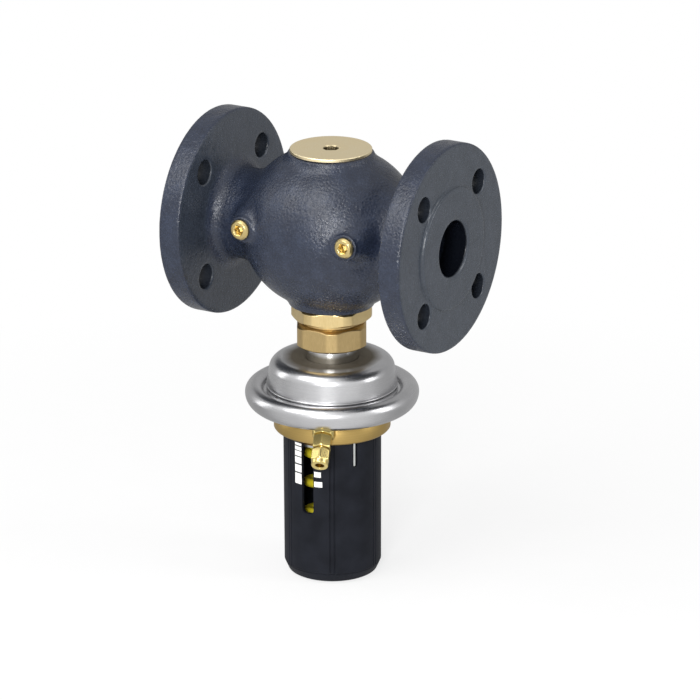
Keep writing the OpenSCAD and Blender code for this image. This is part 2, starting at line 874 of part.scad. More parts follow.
// Outline of the upper casing's outside, or of its inside when inset by the sheet
function bell_points(inset) =
    let (
        r = bell_shoulder - inset,
        cy = bell_z - bell_shoulder,
        foot_z = cy - bell_wall_h,
        start = [bell_flat_r + r * cos(bell_lean), cy + r * sin(bell_lean)],
        foot_r = start[0] + (start[1] - foot_z) * tan(bell_lean),
        turn = sheet_t / 2
    )
    concat(
        [[0, bell_z - inset]],
        arc(bell_flat_r, cy, r, 90, bell_lean),
        [[foot_r, foot_z], [foot_r + turn / 2, foot_z - turn / 2],
            [foot_r + turn / 2, foot_z - turn], [foot_r - turn, foot_z - turn * 3]]
    );

// Sub-part: deep-drawn upper casing
module upper_casing() {
    outer = bell_points(0);
    inner = bell_points(sheet_t);
    outer_end = outer[len(outer) - 1];
    inner_end = inner[len(inner) - 1];
    color("#bfc1c4")
    rotate_extrude()
        difference() {
            polygon(concat(outer, [
                [outer_end[0], clamp_z + sheet_t], [clamp_r, clamp_z + sheet_t],
                [clamp_r, clamp_z], [0, clamp_z]
            ]));
            polygon(concat(inner, [[inner_end[0], clamp_z - over], [0, clamp_z - over]]));
            translate([0, clamp_z])
                square([tube_r + fit_gap, bell_h + sheet_t + over]);
        }
}

// Sub-part: rolled rim that clamps the two casings together
module rolled_rim() {
    lip = 180 - asin((clamp_z + sheet_t + fit_gap - rim_z) / (rim_turn - sheet_t));
    color("#a9abae")
    turned(concat(
        arc(rim_cx, rim_z, rim_turn, lip, 0),
        arc(rim_low_cx, rim_z, rim_low_turn, 0, -90),
        [[rim_inner_r, rim_low_z - sheet_t], [rim_inner_r, rim_low_z]],
        arc(rim_low_cx, rim_z, rim_low_turn - sheet_t, -90, 0),
        arc(rim_cx, rim_z, rim_turn - sheet_t, 0, lip)
    ));
}

// Sub-part: lower casing with the chamber, the sensing port and the handle's hub
module lower_casing() {
    chamfer = base_flange_h / 2;
    edge = sheet_t / 2;
    chamber_top_r = base_flange_r - rim_turn * 1.4;
    groove_r = handle_inner_r - snap_depth - move_gap;
    groove_top_z = snap_z + snap_h + snap_depth / 2 + move_gap;
    color("#cda45c")
    difference() {
        union() {
            turned([
                [0, bead_z], [base_flange_r, bead_z], [base_flange_r, base_flange_z + chamfer],
                [rim_low_cx - fit_gap, base_flange_z], [base_r, base_flange_z],
                [base_r, base_z + edge], [base_r - edge, base_z], [hub_r, base_z],
                [hub_r, groove_top_z], [groove_r, groove_top_z],
                [groove_r, snap_z - move_gap], [hub_r, snap_z - move_gap],
                [hub_r, hub_low_z], [0, hub_low_z]
            ]);
            difference() {
                at_sensing_port()
                    translate([0, 0, -sense_boss_l])
                        cylinder(d = sense_boss_d, h = 2 * sense_boss_l);
                translate([0, 0, base_flange_z - sheet_t - move_gap])
                    cylinder(r = rim_r, h = base_flange_h + sheet_t + move_gap);
            }
        }
        turned([
            [0, bead_z + over], [chamber_top_r, bead_z + over],
            [chamber_top_r, bead_z - chamber_h / 4], [chamber_r + over, bead_z - chamber_h / 2],
            [chamber_r, chamber_z], [0, chamber_z]
        ]);
        translate([0, 0, chamber_z - gland_flange_t])
            cylinder(r = gland_flange_r + fit_gap, h = chamber_h);
        translate([0, 0, hub_low_z - over])
            cylinder(r = gland_r + fit_gap, h = chamber_z - hub_low_z);
        at_sensing_port() {
            translate([0, 0, sense_boss_l - thread_l])
                cylinder(r = spigot_r + fit_gap, h = thread_l + over);
            translate([0, 0, chamber_r - base_r - sense_boss_l])
                cylinder(r = sense_r * 0.7, h = base_r);
        }
    }
}

// Sub-part: flanged bush in the lower casing, with a groove for two seals
module gland_bush() {
    groove_z = (chamber_z + hub_low_z) / 2;
    seal_stack = 2 * seal_h;
    color("#b98d4c")
    difference() {
        turned([
            [0, hub_low_z], [gland_r, hub_low_z], [gland_r, chamber_z - gland_flange_t],
            [gland_flange_r, chamber_z - gland_flange_t], [gland_flange_r, chamber_z], [0, chamber_z]
        ]);
        translate([0, 0, hub_low_z - over])
            cylinder(r = rod_r + fit_gap, h = chamber_z - hub_low_z + 2 * over);
        translate([0, 0, groove_z - seal_h])
            cylinder(r = rod_r + gland_seal_w, h = seal_stack);
    }
}

// Sub-part: two sealing rings in the gland bush
module gland_seals() {
    groove_z = (chamber_z + hub_low_z) / 2;
    color("#222222")
    for (i = [-1, 0])
        ring(rod_r + gland_seal_w - fit_gap, rod_r + fit_gap,
            groove_z + i * seal_h + fit_gap, groove_z + (i + 1) * seal_h - fit_gap);
}

// Sub-part: diaphragm with its clamped bead and its rolling part
module diaphragm() {
    bead_in_r = base_flange_r - rim_turn * 1.4 + fit_gap;
    bead_out_r = clamp_r + fit_gap * 10;
    mid = clamp_z - bead_t / 2;
    web_h = diaphragm_t / 2;
    color("#26282b")
    difference() {
        turned([
            [0, disc_low_z], [plate_r + web_h, disc_low_z], [bead_in_r, mid - web_h],
            [bead_in_r, bead_z], [bead_out_r, bead_z], [bead_out_r, clamp_z], [bead_in_r, clamp_z],
            [bead_in_r - web_h, mid + web_h], [plate_r, disc_z], [0, disc_z]
        ]);
        translate([0, 0, disc_low_z - over])
            cylinder(r = socket_r + fit_gap, h = diaphragm_t + 2 * over);
    }
}

// Sub-part: pale disc that the spring pushes up against
module spring_seat() {
    color("#c9cbc6")
    ring(hub_r - move_gap, rod_r + move_gap, seat_low_z, hub_low_z);
}

// Sub-part: body of the compression fitting
module fitting_body() {
    chamfer = fitting_af / 14;
    af_r = fitting_af / 2;
    start = sense_boss_l;
    stop = fitting_hex_end;
    color("#d8b25c")
    at_sensing_port()
        difference() {
            union() {
                translate([0, 0, start - thread_l + fit_gap])
                    cylinder(r = spigot_r, h = thread_l);
                intersection() {
                    hexagon(fitting_af, start, stop);
                    turned([
                        [0, start], [af_r + chamfer * 1.5, start], [af_r + chamfer * 1.5, stop - chamfer],
                        [af_r - chamfer / 4, stop], [0, stop]
                    ]);
                }
                translate([0, 0, stop])
                    cylinder(r = spigot_r, h = spigot_end - stop);
            }
            translate([0, 0, start - thread_l - over])
                cylinder(r = sense_r * 0.7, h = spigot_end);
            translate([0, 0, tube_stop])
                cylinder(r = sense_r + fit_gap, h = spigot_end);
        }
}

// Sub-part: nut of the compression fitting
module fitting_nut() {
    chamfer = fitting_af / 14;
    af_r = fitting_af / 2;
    start = fitting_nut_start;
    stop = fitting_end;
    color("#e0bd68")
    at_sensing_port()
        difference() {
            intersection() {
                hexagon(fitting_af, start, stop);
                turned([
                    [0, start], [af_r - chamfer / 4, start], [af_r + chamfer * 1.5, start + chamfer],
                    [af_r + chamfer * 1.5, stop - fitting_nut_l * 0.4],
                    [af_r - chamfer, stop - fitting_nut_l * 0.25],
                    [af_r - chamfer, stop - chamfer], [af_r - chamfer * 2, stop], [0, stop]
                ]);
            }
            translate([0, 0, start - over])
                cylinder(r = spigot_r + fit_gap, h = nut_seat - start + over);
            translate([0, 0, start])
                cylinder(r = sense_r + fit_gap * 2, h = fitting_nut_l + over);
        }
}

// Sub-part: cutting ring between the fitting's body and its nut
module fitting_ferrule() {
    start = spigot_end + fit_gap;
    color("#b98d4c")
    at_sensing_port()
        difference() {
            translate([0, 0, start])
                cylinder(r1 = spigot_r - fit_gap - sense_r / 6, r2 = spigot_r - fit_gap, h = ferrule_l);
            translate([0, 0, start - over])
                cylinder(r = sense_r + fit_gap, h = ferrule_l + 2 * over);
        }
}

// Sub-part: stem from the balance piston down to the actuator
module valve_stem() {
    top = piston_z + piston_l + piston_nut_h + fit_gap;
    color("#c2c5c9")
    turned([
        [0, socket_low_z + fit_gap], [stem_r, socket_low_z + fit_gap], [stem_r, cone_top_z],
        [shoulder_r, cone_top_z], [shoulder_r, piston_z], [stem_r, piston_z], [stem_r, top], [0, top]
    ]);
}

// Sub-part: cone that shuts upward against the seat
module valve_cone() {
    color("#aeb2b8")
    difference() {
        turned([
            [0, hub_z], [cone_hub_d / 2, hub_z], [cone_hub_d / 2, cone_z - cone_t],
            [cone_r, cone_z - cone_t], [cone_r, cone_z], [plug_base_r, cone_z],
            [plug_base_r * 0.9, cone_z + plug_h * 0.5], [plug_top_d / 2, cone_top_z], [0, cone_top_z]
        ]);
        translate([0, 0, hub_z - over])
            cylinder(r = stem_r + fit_gap, h = cone_top_z - hub_z + 2 * over);
        ring(cone_seal_r + cone_seal_w / 2, cone_seal_r - cone_seal_w / 2,
            cone_z - cone_seal_t, cone_z + over);
    }
}

// Sub-part: soft ring in the cone's face
module cone_seal() {
    color("#2b2b2b")
    ring(cone_seal_r + cone_seal_w / 2 - fit_gap, cone_seal_r - cone_seal_w / 2 + fit_gap,
        cone_z - cone_seal_t, cone_z);
}

// Sub-part: nut that holds the cone on its stem
module cone_nut() {
    color("#c2c5c9")
    hexagon_nut(stem_r, hub_z - cone_nut_h, hub_z);
}

// Sub-part: piston that balances the pressure on the cone
module balance_piston() {
    groove_z = piston_z + piston_groove;
    color("#b98d4c")
    difference() {
        ring(piston_r, stem_r + fit_gap, piston_z, piston_z + piston_l);
        ring(piston_r + over, piston_r - piston_groove / 2, groove_z, groove_z + piston_groove);
    }
}

// Sub-part: seal in the piston's groove
module piston_seal() {
    groove_z = piston_z + piston_groove;
    color("#222222")
    ring(piston_r, piston_r - piston_groove / 2 + fit_gap,
        groove_z + fit_gap, groove_z + piston_groove - fit_gap);
}

// Sub-part: nut that holds the piston on its stem
module piston_nut() {
    low = piston_z + piston_l;
    color("#c2c5c9")
    hexagon_nut(stem_r, low, low + piston_nut_h);
}

// Sub-part: actuator stem with its socket, its collar and its threaded end
module actuator_stem() {
    color("#b9bcc0")
    difference() {
        turned([
            [0, rod_end_z], [rod_r - rod_r / 6, rod_end_z], [rod_r, rod_end_z + rod_r / 6],
            [rod_r, rod_z], [collar_r, rod_z], [collar_r, rod_z + collar_t],
            [socket_r, rod_z + collar_t], [socket_r, socket_top_z], [0, socket_top_z]
        ]);
        translate([0, 0, socket_low_z])
            cylinder(r = stem_r + fit_gap, h = socket_depth + over);
    }
}

// Sub-part: dished plate on the diaphragm
module upper_plate() {
    lip = plate_t * 0.6;
    color("#b8bcc2")
    difference() {
        turned([
            [0, disc_z], [plate_r - lip, disc_z], [plate_r, disc_z + lip], [plate_r, disc_z + 2 * plate_t],
            [plate_r - lip, disc_z + 2 * plate_t], [plate_r - lip, disc_z + plate_t], [0, disc_z + plate_t]
        ]);
        translate([0, 0, disc_z - over])
            cylinder(r = socket_r + fit_gap, h = plate_t + 2 * over);
    }
}

// Sub-part: flat plate under the diaphragm
module lower_plate() {
    lip = plate_t * 0.6;
    low = disc_low_z - plate_t;
    color("#b8bcc2")
    difference() {
        turned([
            [0, low], [plate_r - lip * 2, low], [plate_r - lip, low + lip], [plate_r - lip, disc_low_z],
            [0, disc_low_z]
        ]);
        translate([0, 0, low - over])
            cylinder(r = socket_r + fit_gap, h = plate_t + 2 * over);
    }
}

// Sub-part: nut that clamps the plates on the diaphragm
module plate_nut() {
    low = disc_z + plate_t;
    color("#c2c5c9")
    hexagon_nut(socket_r, low, low + plate_nut_h);
}

// Sub-part: setting handle with its window, narrow slot, keyways and outer lines
module setting_handle() {
    height = handle_l + 2 * over;
    reach = handle_wall + over;
    edge = handle_wall / 5;
    color("#22262d")
    difference() {
        turned([
            [handle_inner_r, handle_low_z], [handle_low_r, handle_low_z],
            [handle_r, handle_z - edge], [handle_r - edge, handle_z], [handle_inner_r, handle_z],
            [handle_inner_r, snap_z + snap_h + snap_depth / 2],
            [handle_inner_r - snap_depth, snap_z + snap_h],
            [handle_inner_r - snap_depth, snap_z], [handle_inner_r, snap_z]
        ]);
        on_bearing(0)
            translate([handle_inner_r - reach, -window_w / 2, handle_z - window_l + window_corner])
                cube([handle_wall + 2 * reach, window_w, window_l]);
        on_bearing(0)
            translate([handle_inner_r - reach, -window_w / 2 + window_corner, handle_z - window_l])
                cube([handle_wall + 2 * reach, window_w - 2 * window_corner, window_l]);
        on_bearing(0)
            for (side = [-1, 1])
                translate([handle_inner_r - reach, side * (window_w / 2 - window_corner),
                    handle_z - window_l + window_corner])
                    rotate([0, 90, 0])
                        cylinder(r = window_corner, h = handle_wall + 2 * reach);
        on_bearing(slot_bearing) {
            translate([handle_inner_r - reach, -slot_w / 2, handle_z - slot_l + slot_w / 2])
                cube([handle_wall + 2 * reach, slot_w, slot_l]);
            translate([handle_inner_r - reach, 0, handle_z - slot_l + slot_w / 2])
                rotate([0, 90, 0])
                    cylinder(r = slot_w / 2, h = handle_wall + 2 * reach);
        }
        for (i = [0:key_count - 1])
            on_bearing((i + 0.5) * 360 / key_count) {
                translate([handle_inner_r - reach, -key_w / 2, handle_low_z - over])
                    cube([key_depth + reach, key_w, snap_z - handle_low_z - snap_depth]);
                for (side = [-1, 1])
                    translate([handle_r - line_depth, side * line_pitch / 2 - line_w / 2,
                        handle_low_z - over])
                        cube([reach, line_w, height]);
            }
    }
}

// Sub-part: cap that closes the handle
module handle_cap() {
    edge = cap_h / 6;
    spigot_r = handle_inner_r - fit_gap;
    color("#262b33")
    difference() {
        turned([
            [0, cap_low_z], [cap_edge_r - edge, cap_low_z], [cap_edge_r, cap_low_z + edge],
            [cap_r, handle_low_z - edge], [cap_r, handle_low_z], [spigot_r, handle_low_z],
            [spigot_r, handle_low_z + cap_spigot_h], [0, handle_low_z + cap_spigot_h]
        ]);
        translate([0, 0, cap_floor_z])
            cylinder(r = handle_inner_r - handle_wall, h = cap_h);
    }
}

// Sub-part: steel pin standing in the narrow slot
module locking_pin() {
    slot_r = slot_w / 2;
    low = handle_z - slot_l + slot_r - sqrt(pow(slot_r, 2) - pow(pin_d / 2, 2)) + fit_gap;
    color("#c8cacc")
    on_bearing(slot_bearing)
        translate([handle_inner_r + handle_wall / 2, 0, low]) {
            cylinder(d = pin_d, h = pin_l - pin_d / 4);
            translate([0, 0, pin_l - pin_d / 4])
                cylinder(d1 = pin_d, d2 = pin_d / 2, h = pin_d / 4);
        }
}

// Centre of the spring's wire after t turns from its top
function spring_z(t) =
    t < 1 ? -t * closed_pitch
    : t < 1 + active_turns ? -closed_pitch - (t - 1) * spring_pitch
    : -closed_pitch - active_turns * spring_pitch - (t - 1 - active_turns) * closed_pitch;

function spring_point(t) =
    let (a = spring_bearing - 90 - t * 360)
    [spring_r * cos(a), spring_r * sin(a), seat_low_z - fit_gap - wire_d / 2 + spring_z(t)];

// Ring of the wire at turn t, in the plane that holds the spring's axis
function spring_ring(t) =
    let (c = spring_point(t), turn = spring_bearing - 90 - t * 360, out = [cos(turn), sin(turn), 0])
    [for (k = [0:wire_sides - 1])
        let (a = (k + 0.5) * 360 / wire_sides)
        c + wire_d / 2 * (cos(a) * out + sin(a) * [0, 0, 1])];

// Faces of a tube of n rings, closed at both ends
function tube_faces(n, sides) =
    concat(
        [for (i = [0:n - 2], k = [0:sides - 1])
            let (a = i * sides + k, b = i * sides + (k + 1) % sides)
            for (f = [[a, b, a + sides], [b, b + sides, a + sides]]) f],
        [for (k = [1:sides - 2]) [0, k + 1, k]],
        [for (k = [1:sides - 2]) let (s = (n - 1) * sides) [s, s + k, s + k + 1]]
    );

// Sub-part: the setting spring, one unbroken wire with closed end turns
module setting_spring() {
    n = round(spring_turns * ring_steps) + 1;
    rings = [for (i = [0:n - 1]) spring_ring(i / ring_steps)];
    points = [for (ring = rings) for (p = ring) p];
    gaps = [for (i = [0:n - 1 - ring_steps]) for (a = rings[i]) for (b = rings[i + ring_steps]) norm(a - b)];
    echo(least_gap_in_spring = min(gaps));
    color("#e8d62c")
    polyhedron(points = points, faces = tube_faces(n, wire_sides));
}

// Sub-part: plate that carries the spring's lower end
module spring_plate() {
    rim_r = spring_d / 2 + move_gap;
    color("#b8bcc2")
    difference() {
        turned([
            [0, washer_z], [rim_r + spring_plate_t, washer_z],
            [rim_r + spring_plate_t, spring_plate_z + wire_d / 3],
            [rim_r, spring_plate_z + wire_d / 3], [rim_r, spring_plate_z], [0, spring_plate_z]
        ]);
        translate([0, 0, washer_z - over])
            cylinder(r = rod_r + move_gap, h = spring_plate_t + 2 * over);
    }
}

// Sub-part: washer between the turning nut and the plate
module thrust_washer() {
    color("#b98d4c")
    ring(spring_d / 2, rod_r + move_gap, washer_z - washer_t, washer_z);
}

// Sub-part: nut on the threaded stem, keyed into the handle
module setting_nut() {
    low = setting_nut_low_z;
    disc_r = handle_inner_r - move_gap - fit_gap;
    color("#c9a24f")
    difference() {
        union() {
            translate([0, 0, low])
                cylinder(r = disc_r, h = setting_nut_h);
            for (i = [0:key_count - 1])
                on_bearing((i + 0.5) * 360 / key_count)
                    translate([disc_r - key_depth, -key_w / 2 + move_gap, low])
                        cube([key_r - move_gap - disc_r + key_depth, key_w - 2 * move_gap, setting_nut_h]);
        }
        translate([0, 0, low - over])
            cylinder(r = rod_r + fit_gap, h = setting_nut_h + 2 * over);
        for (i = [0:key_count - 1])
            on_bearing(i * 360 / key_count)
                translate([(disc_r + rod_r) / 2, 0, low - over])
                    cylinder(r = (disc_r - rod_r) / 5, h = setting_nut_h + 2 * over);
    }
}

valve_body();
top_cover();
cover_gasket();
port_plugs();
seat_ring();
balance_cylinder();
valve_insert();
insert_gasket();
guide_bush();
stem_seals();
union_nut();
union_gasket();
neck_tube();
upper_casing();
rolled_rim();
lower_casing();
gland_bush();
gland_seals();
diaphragm();
spring_seat();
fitting_body();
fitting_nut();
fitting_ferrule();
valve_stem();
valve_cone();
cone_seal();
cone_nut();
balance_piston();
piston_seal();
piston_nut();
actuator_stem();
upper_plate();
lower_plate();
plate_nut();
setting_handle();
handle_cap();
locking_pin();
spring_plate();
setting_spring();
setting_nut();
thrust_washer();
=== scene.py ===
import math

import bmesh
import bpy
import numpy as np
from mathutils import Matrix, Vector


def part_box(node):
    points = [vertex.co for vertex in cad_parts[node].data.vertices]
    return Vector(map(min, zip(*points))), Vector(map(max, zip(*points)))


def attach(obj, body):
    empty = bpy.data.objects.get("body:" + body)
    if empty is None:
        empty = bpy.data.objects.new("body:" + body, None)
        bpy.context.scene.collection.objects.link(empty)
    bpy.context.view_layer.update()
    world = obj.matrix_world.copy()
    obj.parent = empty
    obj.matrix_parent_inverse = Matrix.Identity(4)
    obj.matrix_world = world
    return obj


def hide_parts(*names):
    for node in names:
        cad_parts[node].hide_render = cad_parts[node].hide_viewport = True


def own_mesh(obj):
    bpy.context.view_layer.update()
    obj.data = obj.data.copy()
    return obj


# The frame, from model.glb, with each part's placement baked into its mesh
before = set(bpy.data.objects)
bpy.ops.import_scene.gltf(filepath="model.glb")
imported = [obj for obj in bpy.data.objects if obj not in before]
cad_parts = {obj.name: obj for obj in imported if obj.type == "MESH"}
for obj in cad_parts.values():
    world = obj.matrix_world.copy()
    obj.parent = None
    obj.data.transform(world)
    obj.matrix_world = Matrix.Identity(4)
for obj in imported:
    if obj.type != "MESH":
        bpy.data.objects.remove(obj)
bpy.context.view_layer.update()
MM = 0.001

# Camera, solved from the bolt holes of the two flanges
CAMERA_AZIMUTH = 30.33
CAMERA_ELEVATION = 19.40
CAMERA_ROLL = -0.20
CAMERA_DISTANCE = 3.2
CAMERA_RIGHT_MM = 13.32
CAMERA_UP_MM = -87.17
PIXELS_PER_MM = 1.4057
IMAGE_PIXELS = 700
SENSOR_MM = 36.0
CAMERA_CLIP_END = 50


def span(node):
    """Lowest and highest corner of a CAD node, in millimetres."""
    low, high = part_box(node)
    return np.array(low) / MM, np.array(high) / MM


def low_z(node):
    return float(span(node)[0][2])


def high_z(node):
    return float(span(node)[1][2])


# Levels taken from the frame
GASKET_T = 0.6
BOSS_Z = high_z("cover_gasket") - GASKET_T
HANDLE_TOP = high_z("setting_handle")
HANDLE_LOW = low_z("setting_handle")
CAP_LOW = low_z("handle_cap")
BASE_LOW = low_z("lower_casing")
SPRING_TOP = low_z("spring_seat")
SPRING_LOW = low_z("setting_spring")

# Sensing port: its bearing from the front, its dip below level, and where it leaves the ring's wall
PORT_BEARING = 22.5
PORT_DIP = 39.0
PORT_ENTRY_R = 42.2
PORT_ENTRY_Z = -138.53

# Mesh making
MERGE_M = 1e-6
DEGENERATE_M = 1e-7
NEARLY_STRAIGHT = math.radians(89)
MOST_OF_A_SIDE = 0.49
FINE_COLUMNS = 300
ROUND_COLUMNS = 240
HEX_STEP = 0.8


def make_object(name, vertices, faces):
    """A mesh object from points in millimetres, with doubles merged and normals outward."""
    mesh = bpy.data.meshes.new(name)
    mesh.from_pydata([tuple(v) for v in np.asarray(vertices) * MM], [], [tuple(f) for f in faces])
    work = bmesh.new()
    work.from_mesh(mesh)
    bmesh.ops.remove_doubles(work, verts=work.verts, dist=MERGE_M)
    bmesh.ops.dissolve_degenerate(work, edges=work.edges, dist=DEGENERATE_M)
    bmesh.ops.recalc_face_normals(work, faces=work.faces)
    work.to_mesh(mesh)
    work.free()
    obj = bpy.data.objects.new(name, mesh)
    bpy.context.scene.collection.objects.link(obj)
    return obj


def smooth(obj, angle=None):
    """Smooth shading, with hard edges over an angle if one is given, and normals weighted by area."""
    mesh = obj.data
    mesh.polygons.foreach_set("use_smooth", [True] * len(mesh.polygons))
    if angle is not None:
        mesh.set_sharp_from_angle(angle=math.radians(angle))
    weighted = obj.modifiers.new("normals", "WEIGHTED_NORMAL")
    weighted.keep_sharp = True
    return obj


def dress(obj, body, slot, material, *nodes):
    """Puts a finished piece on its body, in its material, in place of CAD nodes. slot is not used."""
    obj.data.materials.clear()
    obj.data.materials.append(material)
    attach(obj, body)
    if nodes:
        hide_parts(*nodes)


def rounded(corners, steps=4):
    """Outline from corners (r, z, fillet), each corner rounded by its fillet as far as its sides allow."""
    outline = []
    count = len(corners)
    for i, (r, z, fillet) in enumerate(corners):
        here = np.array((r, z), float)
        if fillet == 0:
            outline.append(here)
            continue
        back = np.array(corners[i - 1][:2], float) - here
        ahead = np.array(corners[(i + 1) % count][:2], float) - here
        back_l, ahead_l = np.linalg.norm(back), np.linalg.norm(ahead)
        back, ahead = back / back_l, ahead / ahead_l
        half = math.acos(np.clip(back @ ahead, -1, 1)) / 2
        if half > NEARLY_STRAIGHT:
            outline.append(here)
            continue
        reach = min(fillet / math.tan(half), back_l * MOST_OF_A_SIDE, ahead_l * MOST_OF_A_SIDE)
        radius = reach * math.tan(half)
        middle = (back + ahead) / np.linalg.norm(back + ahead)
        centre = here + middle * radius / math.sin(half)
        start = here + back * reach - centre
        end = here + ahead * reach - centre
        a0 = math.atan2(start[1], start[0])
        turn = (math.atan2(end[1], end[0]) - a0 + math.pi) % (2 * math.pi) - math.pi
        for k in range(steps + 1):
            a = a0 + turn * k / steps
            outline.append(centre + radius * np.array((math.cos(a), math.sin(a))))
    return outline


def arc(cx, cy, radius, a0, a1, steps):
    """Points of an arc, from a0 to a1 degrees."""
    return [np.array((cx + radius * math.cos(math.radians(a)), cy + radius * math.sin(math.radians(a))))
            for a in np.linspace(a0, a1, steps + 1)]


def split_long(outline, longest):
    """The outline with its long sides cut into equal shorter ones."""
    out = []
    for i, here in enumerate(outline):
        ahead = outline[(i + 1) % len(outline)]
        n = max(1, math.ceil(np.linalg.norm(ahead - here) / longest))
        out += [here + (ahead - here) * k / n for k in range(n)]
    return out


def lathe(name, outline, columns=180, shape=None, angles=None, place=None):
    """A closed outline of (r, z) turned about +Z. shape(r, z, angle) may change the radii, and place
    puts the points where they belong."""
    if angles is None:
        angles = np.linspace(0, 2 * math.pi, columns, endpoint=False)
    outline = np.array(outline)
    r = np.repeat(outline[:, :1], len(angles), axis=1)
    z = np.repeat(outline[:, 1:2], len(angles), axis=1)
    if shape is not None:
        r = shape(r, z, angles[None, :])
    points = np.stack([r * np.cos(angles), r * np.sin(angles), z], axis=-1).reshape(-1, 3)
    if place is not None:
        points = place(points)
    rows, cols = len(outline), len(angles)
    faces = [(i * cols + j, i * cols + (j + 1) % cols,
              (i + 1) % rows * cols + (j + 1) % cols, (i + 1) % rows * cols + j)
             for i in range(rows) for j in range(cols)]
    return make_object(name, points, faces)


def smooth_min(a, b, k):
    """Least of two distances, rounded over k."""
    h = np.clip(0.5 + 0.5 * (b - a) / k, 0, 1)
    return b * (1 - h) + a * h - k * h * (1 - h)


def smooth_max(a, b, k):
    return -smooth_min(-a, -b, k)


def hexagon_radius(angle, af, turn=0.0):
    """Distance from a hexagon's centre to its side, at an angle. turn is the bearing of a flat."""
    sector = math.radians(60)
    a = (angle - math.radians(turn - 90) + sector / 2) % sector - sector / 2
    return af / 2 / np.cos(a)


def hexagonal(af, turn=0.0, soft=0.35):
    """A lathe shape that cuts the outside down to a hexagon with slightly rounded corners."""
    def shape(r, z, angle):
        return smooth_min(r, hexagon_radius(angle, af, turn) + 0 * r, soft)
    return shape


def socket(af, fade_to, turn=0.0):
    """A lathe shape that makes the ring at r = af / 2 a hexagon and fades out towards fade_to."""
    def shape(r, z, angle):
        share = np.clip((fade_to - r) / (fade_to - af / 2), 0, 1)
        factor = hexagon_radius(angle, af, turn) / (af / 2)
        return r * (1 + share * (factor - 1))
    return shape


def onto_surface(points, field, cell, rounds=4, flattest=0.05):
    """The points moved along the field's slope until they lie where it is zero."""
    step = cell * 0.05
    for _ in range(rounds):
        p = points.T
        f = field(*p)
        grad = np.stack([(field(*(p + step * np.eye(3)[n][:, None])) - f) / step for n in range(3)], axis=1)
        move = -(f / np.maximum((grad ** 2).sum(axis=1), flattest))[:, None] * grad
        points = points + np.clip(move, -cell / 2, cell / 2)
    return points


def surface_net(name, field, low, high, cell):
    """Mesh of the surface where field(x, y, z) is zero: one point in each cell of a grid that the
    surface crosses, and one face across each crossed edge."""
    counts = [int(math.ceil((h - l) / cell)) + 1 for l, h in zip(low, high)]
    axes = [l + cell * np.arange(n) for l, n in zip(low, counts)]
    x, y, z = np.meshgrid(*[a.astype(np.float32) for a in axes], indexing="ij")
    value = field(x, y, z)
    inside = value < 0
    cells = tuple(n - 1 for n in counts)
    total = np.zeros(cells + (3,), np.float32)
    hits = np.zeros(cells, np.int32)
    corners = [(i, j, k) for i in (0, 1) for j in (0, 1) for k in (0, 1)]

    def corner(grid, c):
        return grid[c[0]:c[0] + cells[0], c[1]:c[1] + cells[1], c[2]:c[2] + cells[2]]

    for a in corners:
        for axis in range(3):
            if a[axis]:
                continue
            b = tuple(1 if n == axis else a[n] for n in range(3))
            va, vb = corner(value, a), corner(value, b)
            crosses = corner(inside, a) != corner(inside, b)
            t = np.where(crosses, va / np.where(crosses, va - vb, 1), 0)
            for n in range(3):
                total[..., n] += np.where(crosses, a[n] + (t if n == axis else 0), 0)
            hits += crosses
    used = hits > 0
    index = np.full(cells, -1, np.int64)
    index[used] = np.arange(int(used.sum()))
    base = np.argwhere(used).astype(np.float32)
    points = np.array(low) + cell * (base + total[used] / hits[used][:, None])
    quads = []
    for axis in range(3):
        u, v = (axis + 1) % 3, (axis + 2) % 3
        first = [slice(None)] * 3
        second = [slice(None)] * 3
        first[axis], second[axis] = slice(0, -1), slice(1, None)
        starts, ends = inside[tuple(first)], inside[tuple(second)]
        where = np.argwhere(starts != ends)
        where = where[(where[:, u] > 0) & (where[:, v] > 0)
                      & (where[:, u] < cells[u]) & (where[:, v] < cells[v])]
        flip = ends[tuple(where.T)]
        ring = []
        for du, dv in ((0, 0), (1, 0), (1, 1), (0, 1)):
            c = where.copy()
            c[:, u] -= du
            c[:, v] -= dv
            ring.append(index[tuple(c.T)])
        ring = np.stack(ring, axis=1)
        ring[flip] = ring[flip][:, ::-1]
        quads.append(ring)
    return make_object(name, onto_surface(points, field, cell), np.concatenate(quads).tolist())


def along_port(points):
    """From the sensing port's own frame, +Z outward from the ring's wall, to the part's."""
    turn = Matrix.Rotation(math.radians(PORT_BEARING - 90), 4, "Z")
    tilt = Matrix.Rotation(math.radians(90 + PORT_DIP), 4, "Y")
    move = Matrix.Translation((PORT_ENTRY_R, 0, PORT_ENTRY_Z))
    matrix = np.array(turn @ move @ tilt)
    return points @ matrix[:3, :3].T + matrix[:3, 3]


# Flange bolts: diameter of their circle, and how far each lies from the two middle planes
BOLT_CIRCLE = 110
BOLT_REACH = BOLT_CIRCLE / 2 / math.sqrt(2)

# Materials. Over each of these lengths one look goes into the next, in metres as the object's coordinates
FLANGE_STARTS = (0.0795, 0.0815)
RIM_STARTS = (0.0735, 0.0745)
# The next two lengths bound the painted shade inside the bore and the bolt holes
BORE_SHADE_ENDS = (0.0200, 0.0206)
BOLT_HOLE_SHADE_ENDS = (0.0089, 0.0092)
# Bounds of the painted reflection round the bell's neck
NECK_REFLECTION_ENDS = (0.031, 0.039)


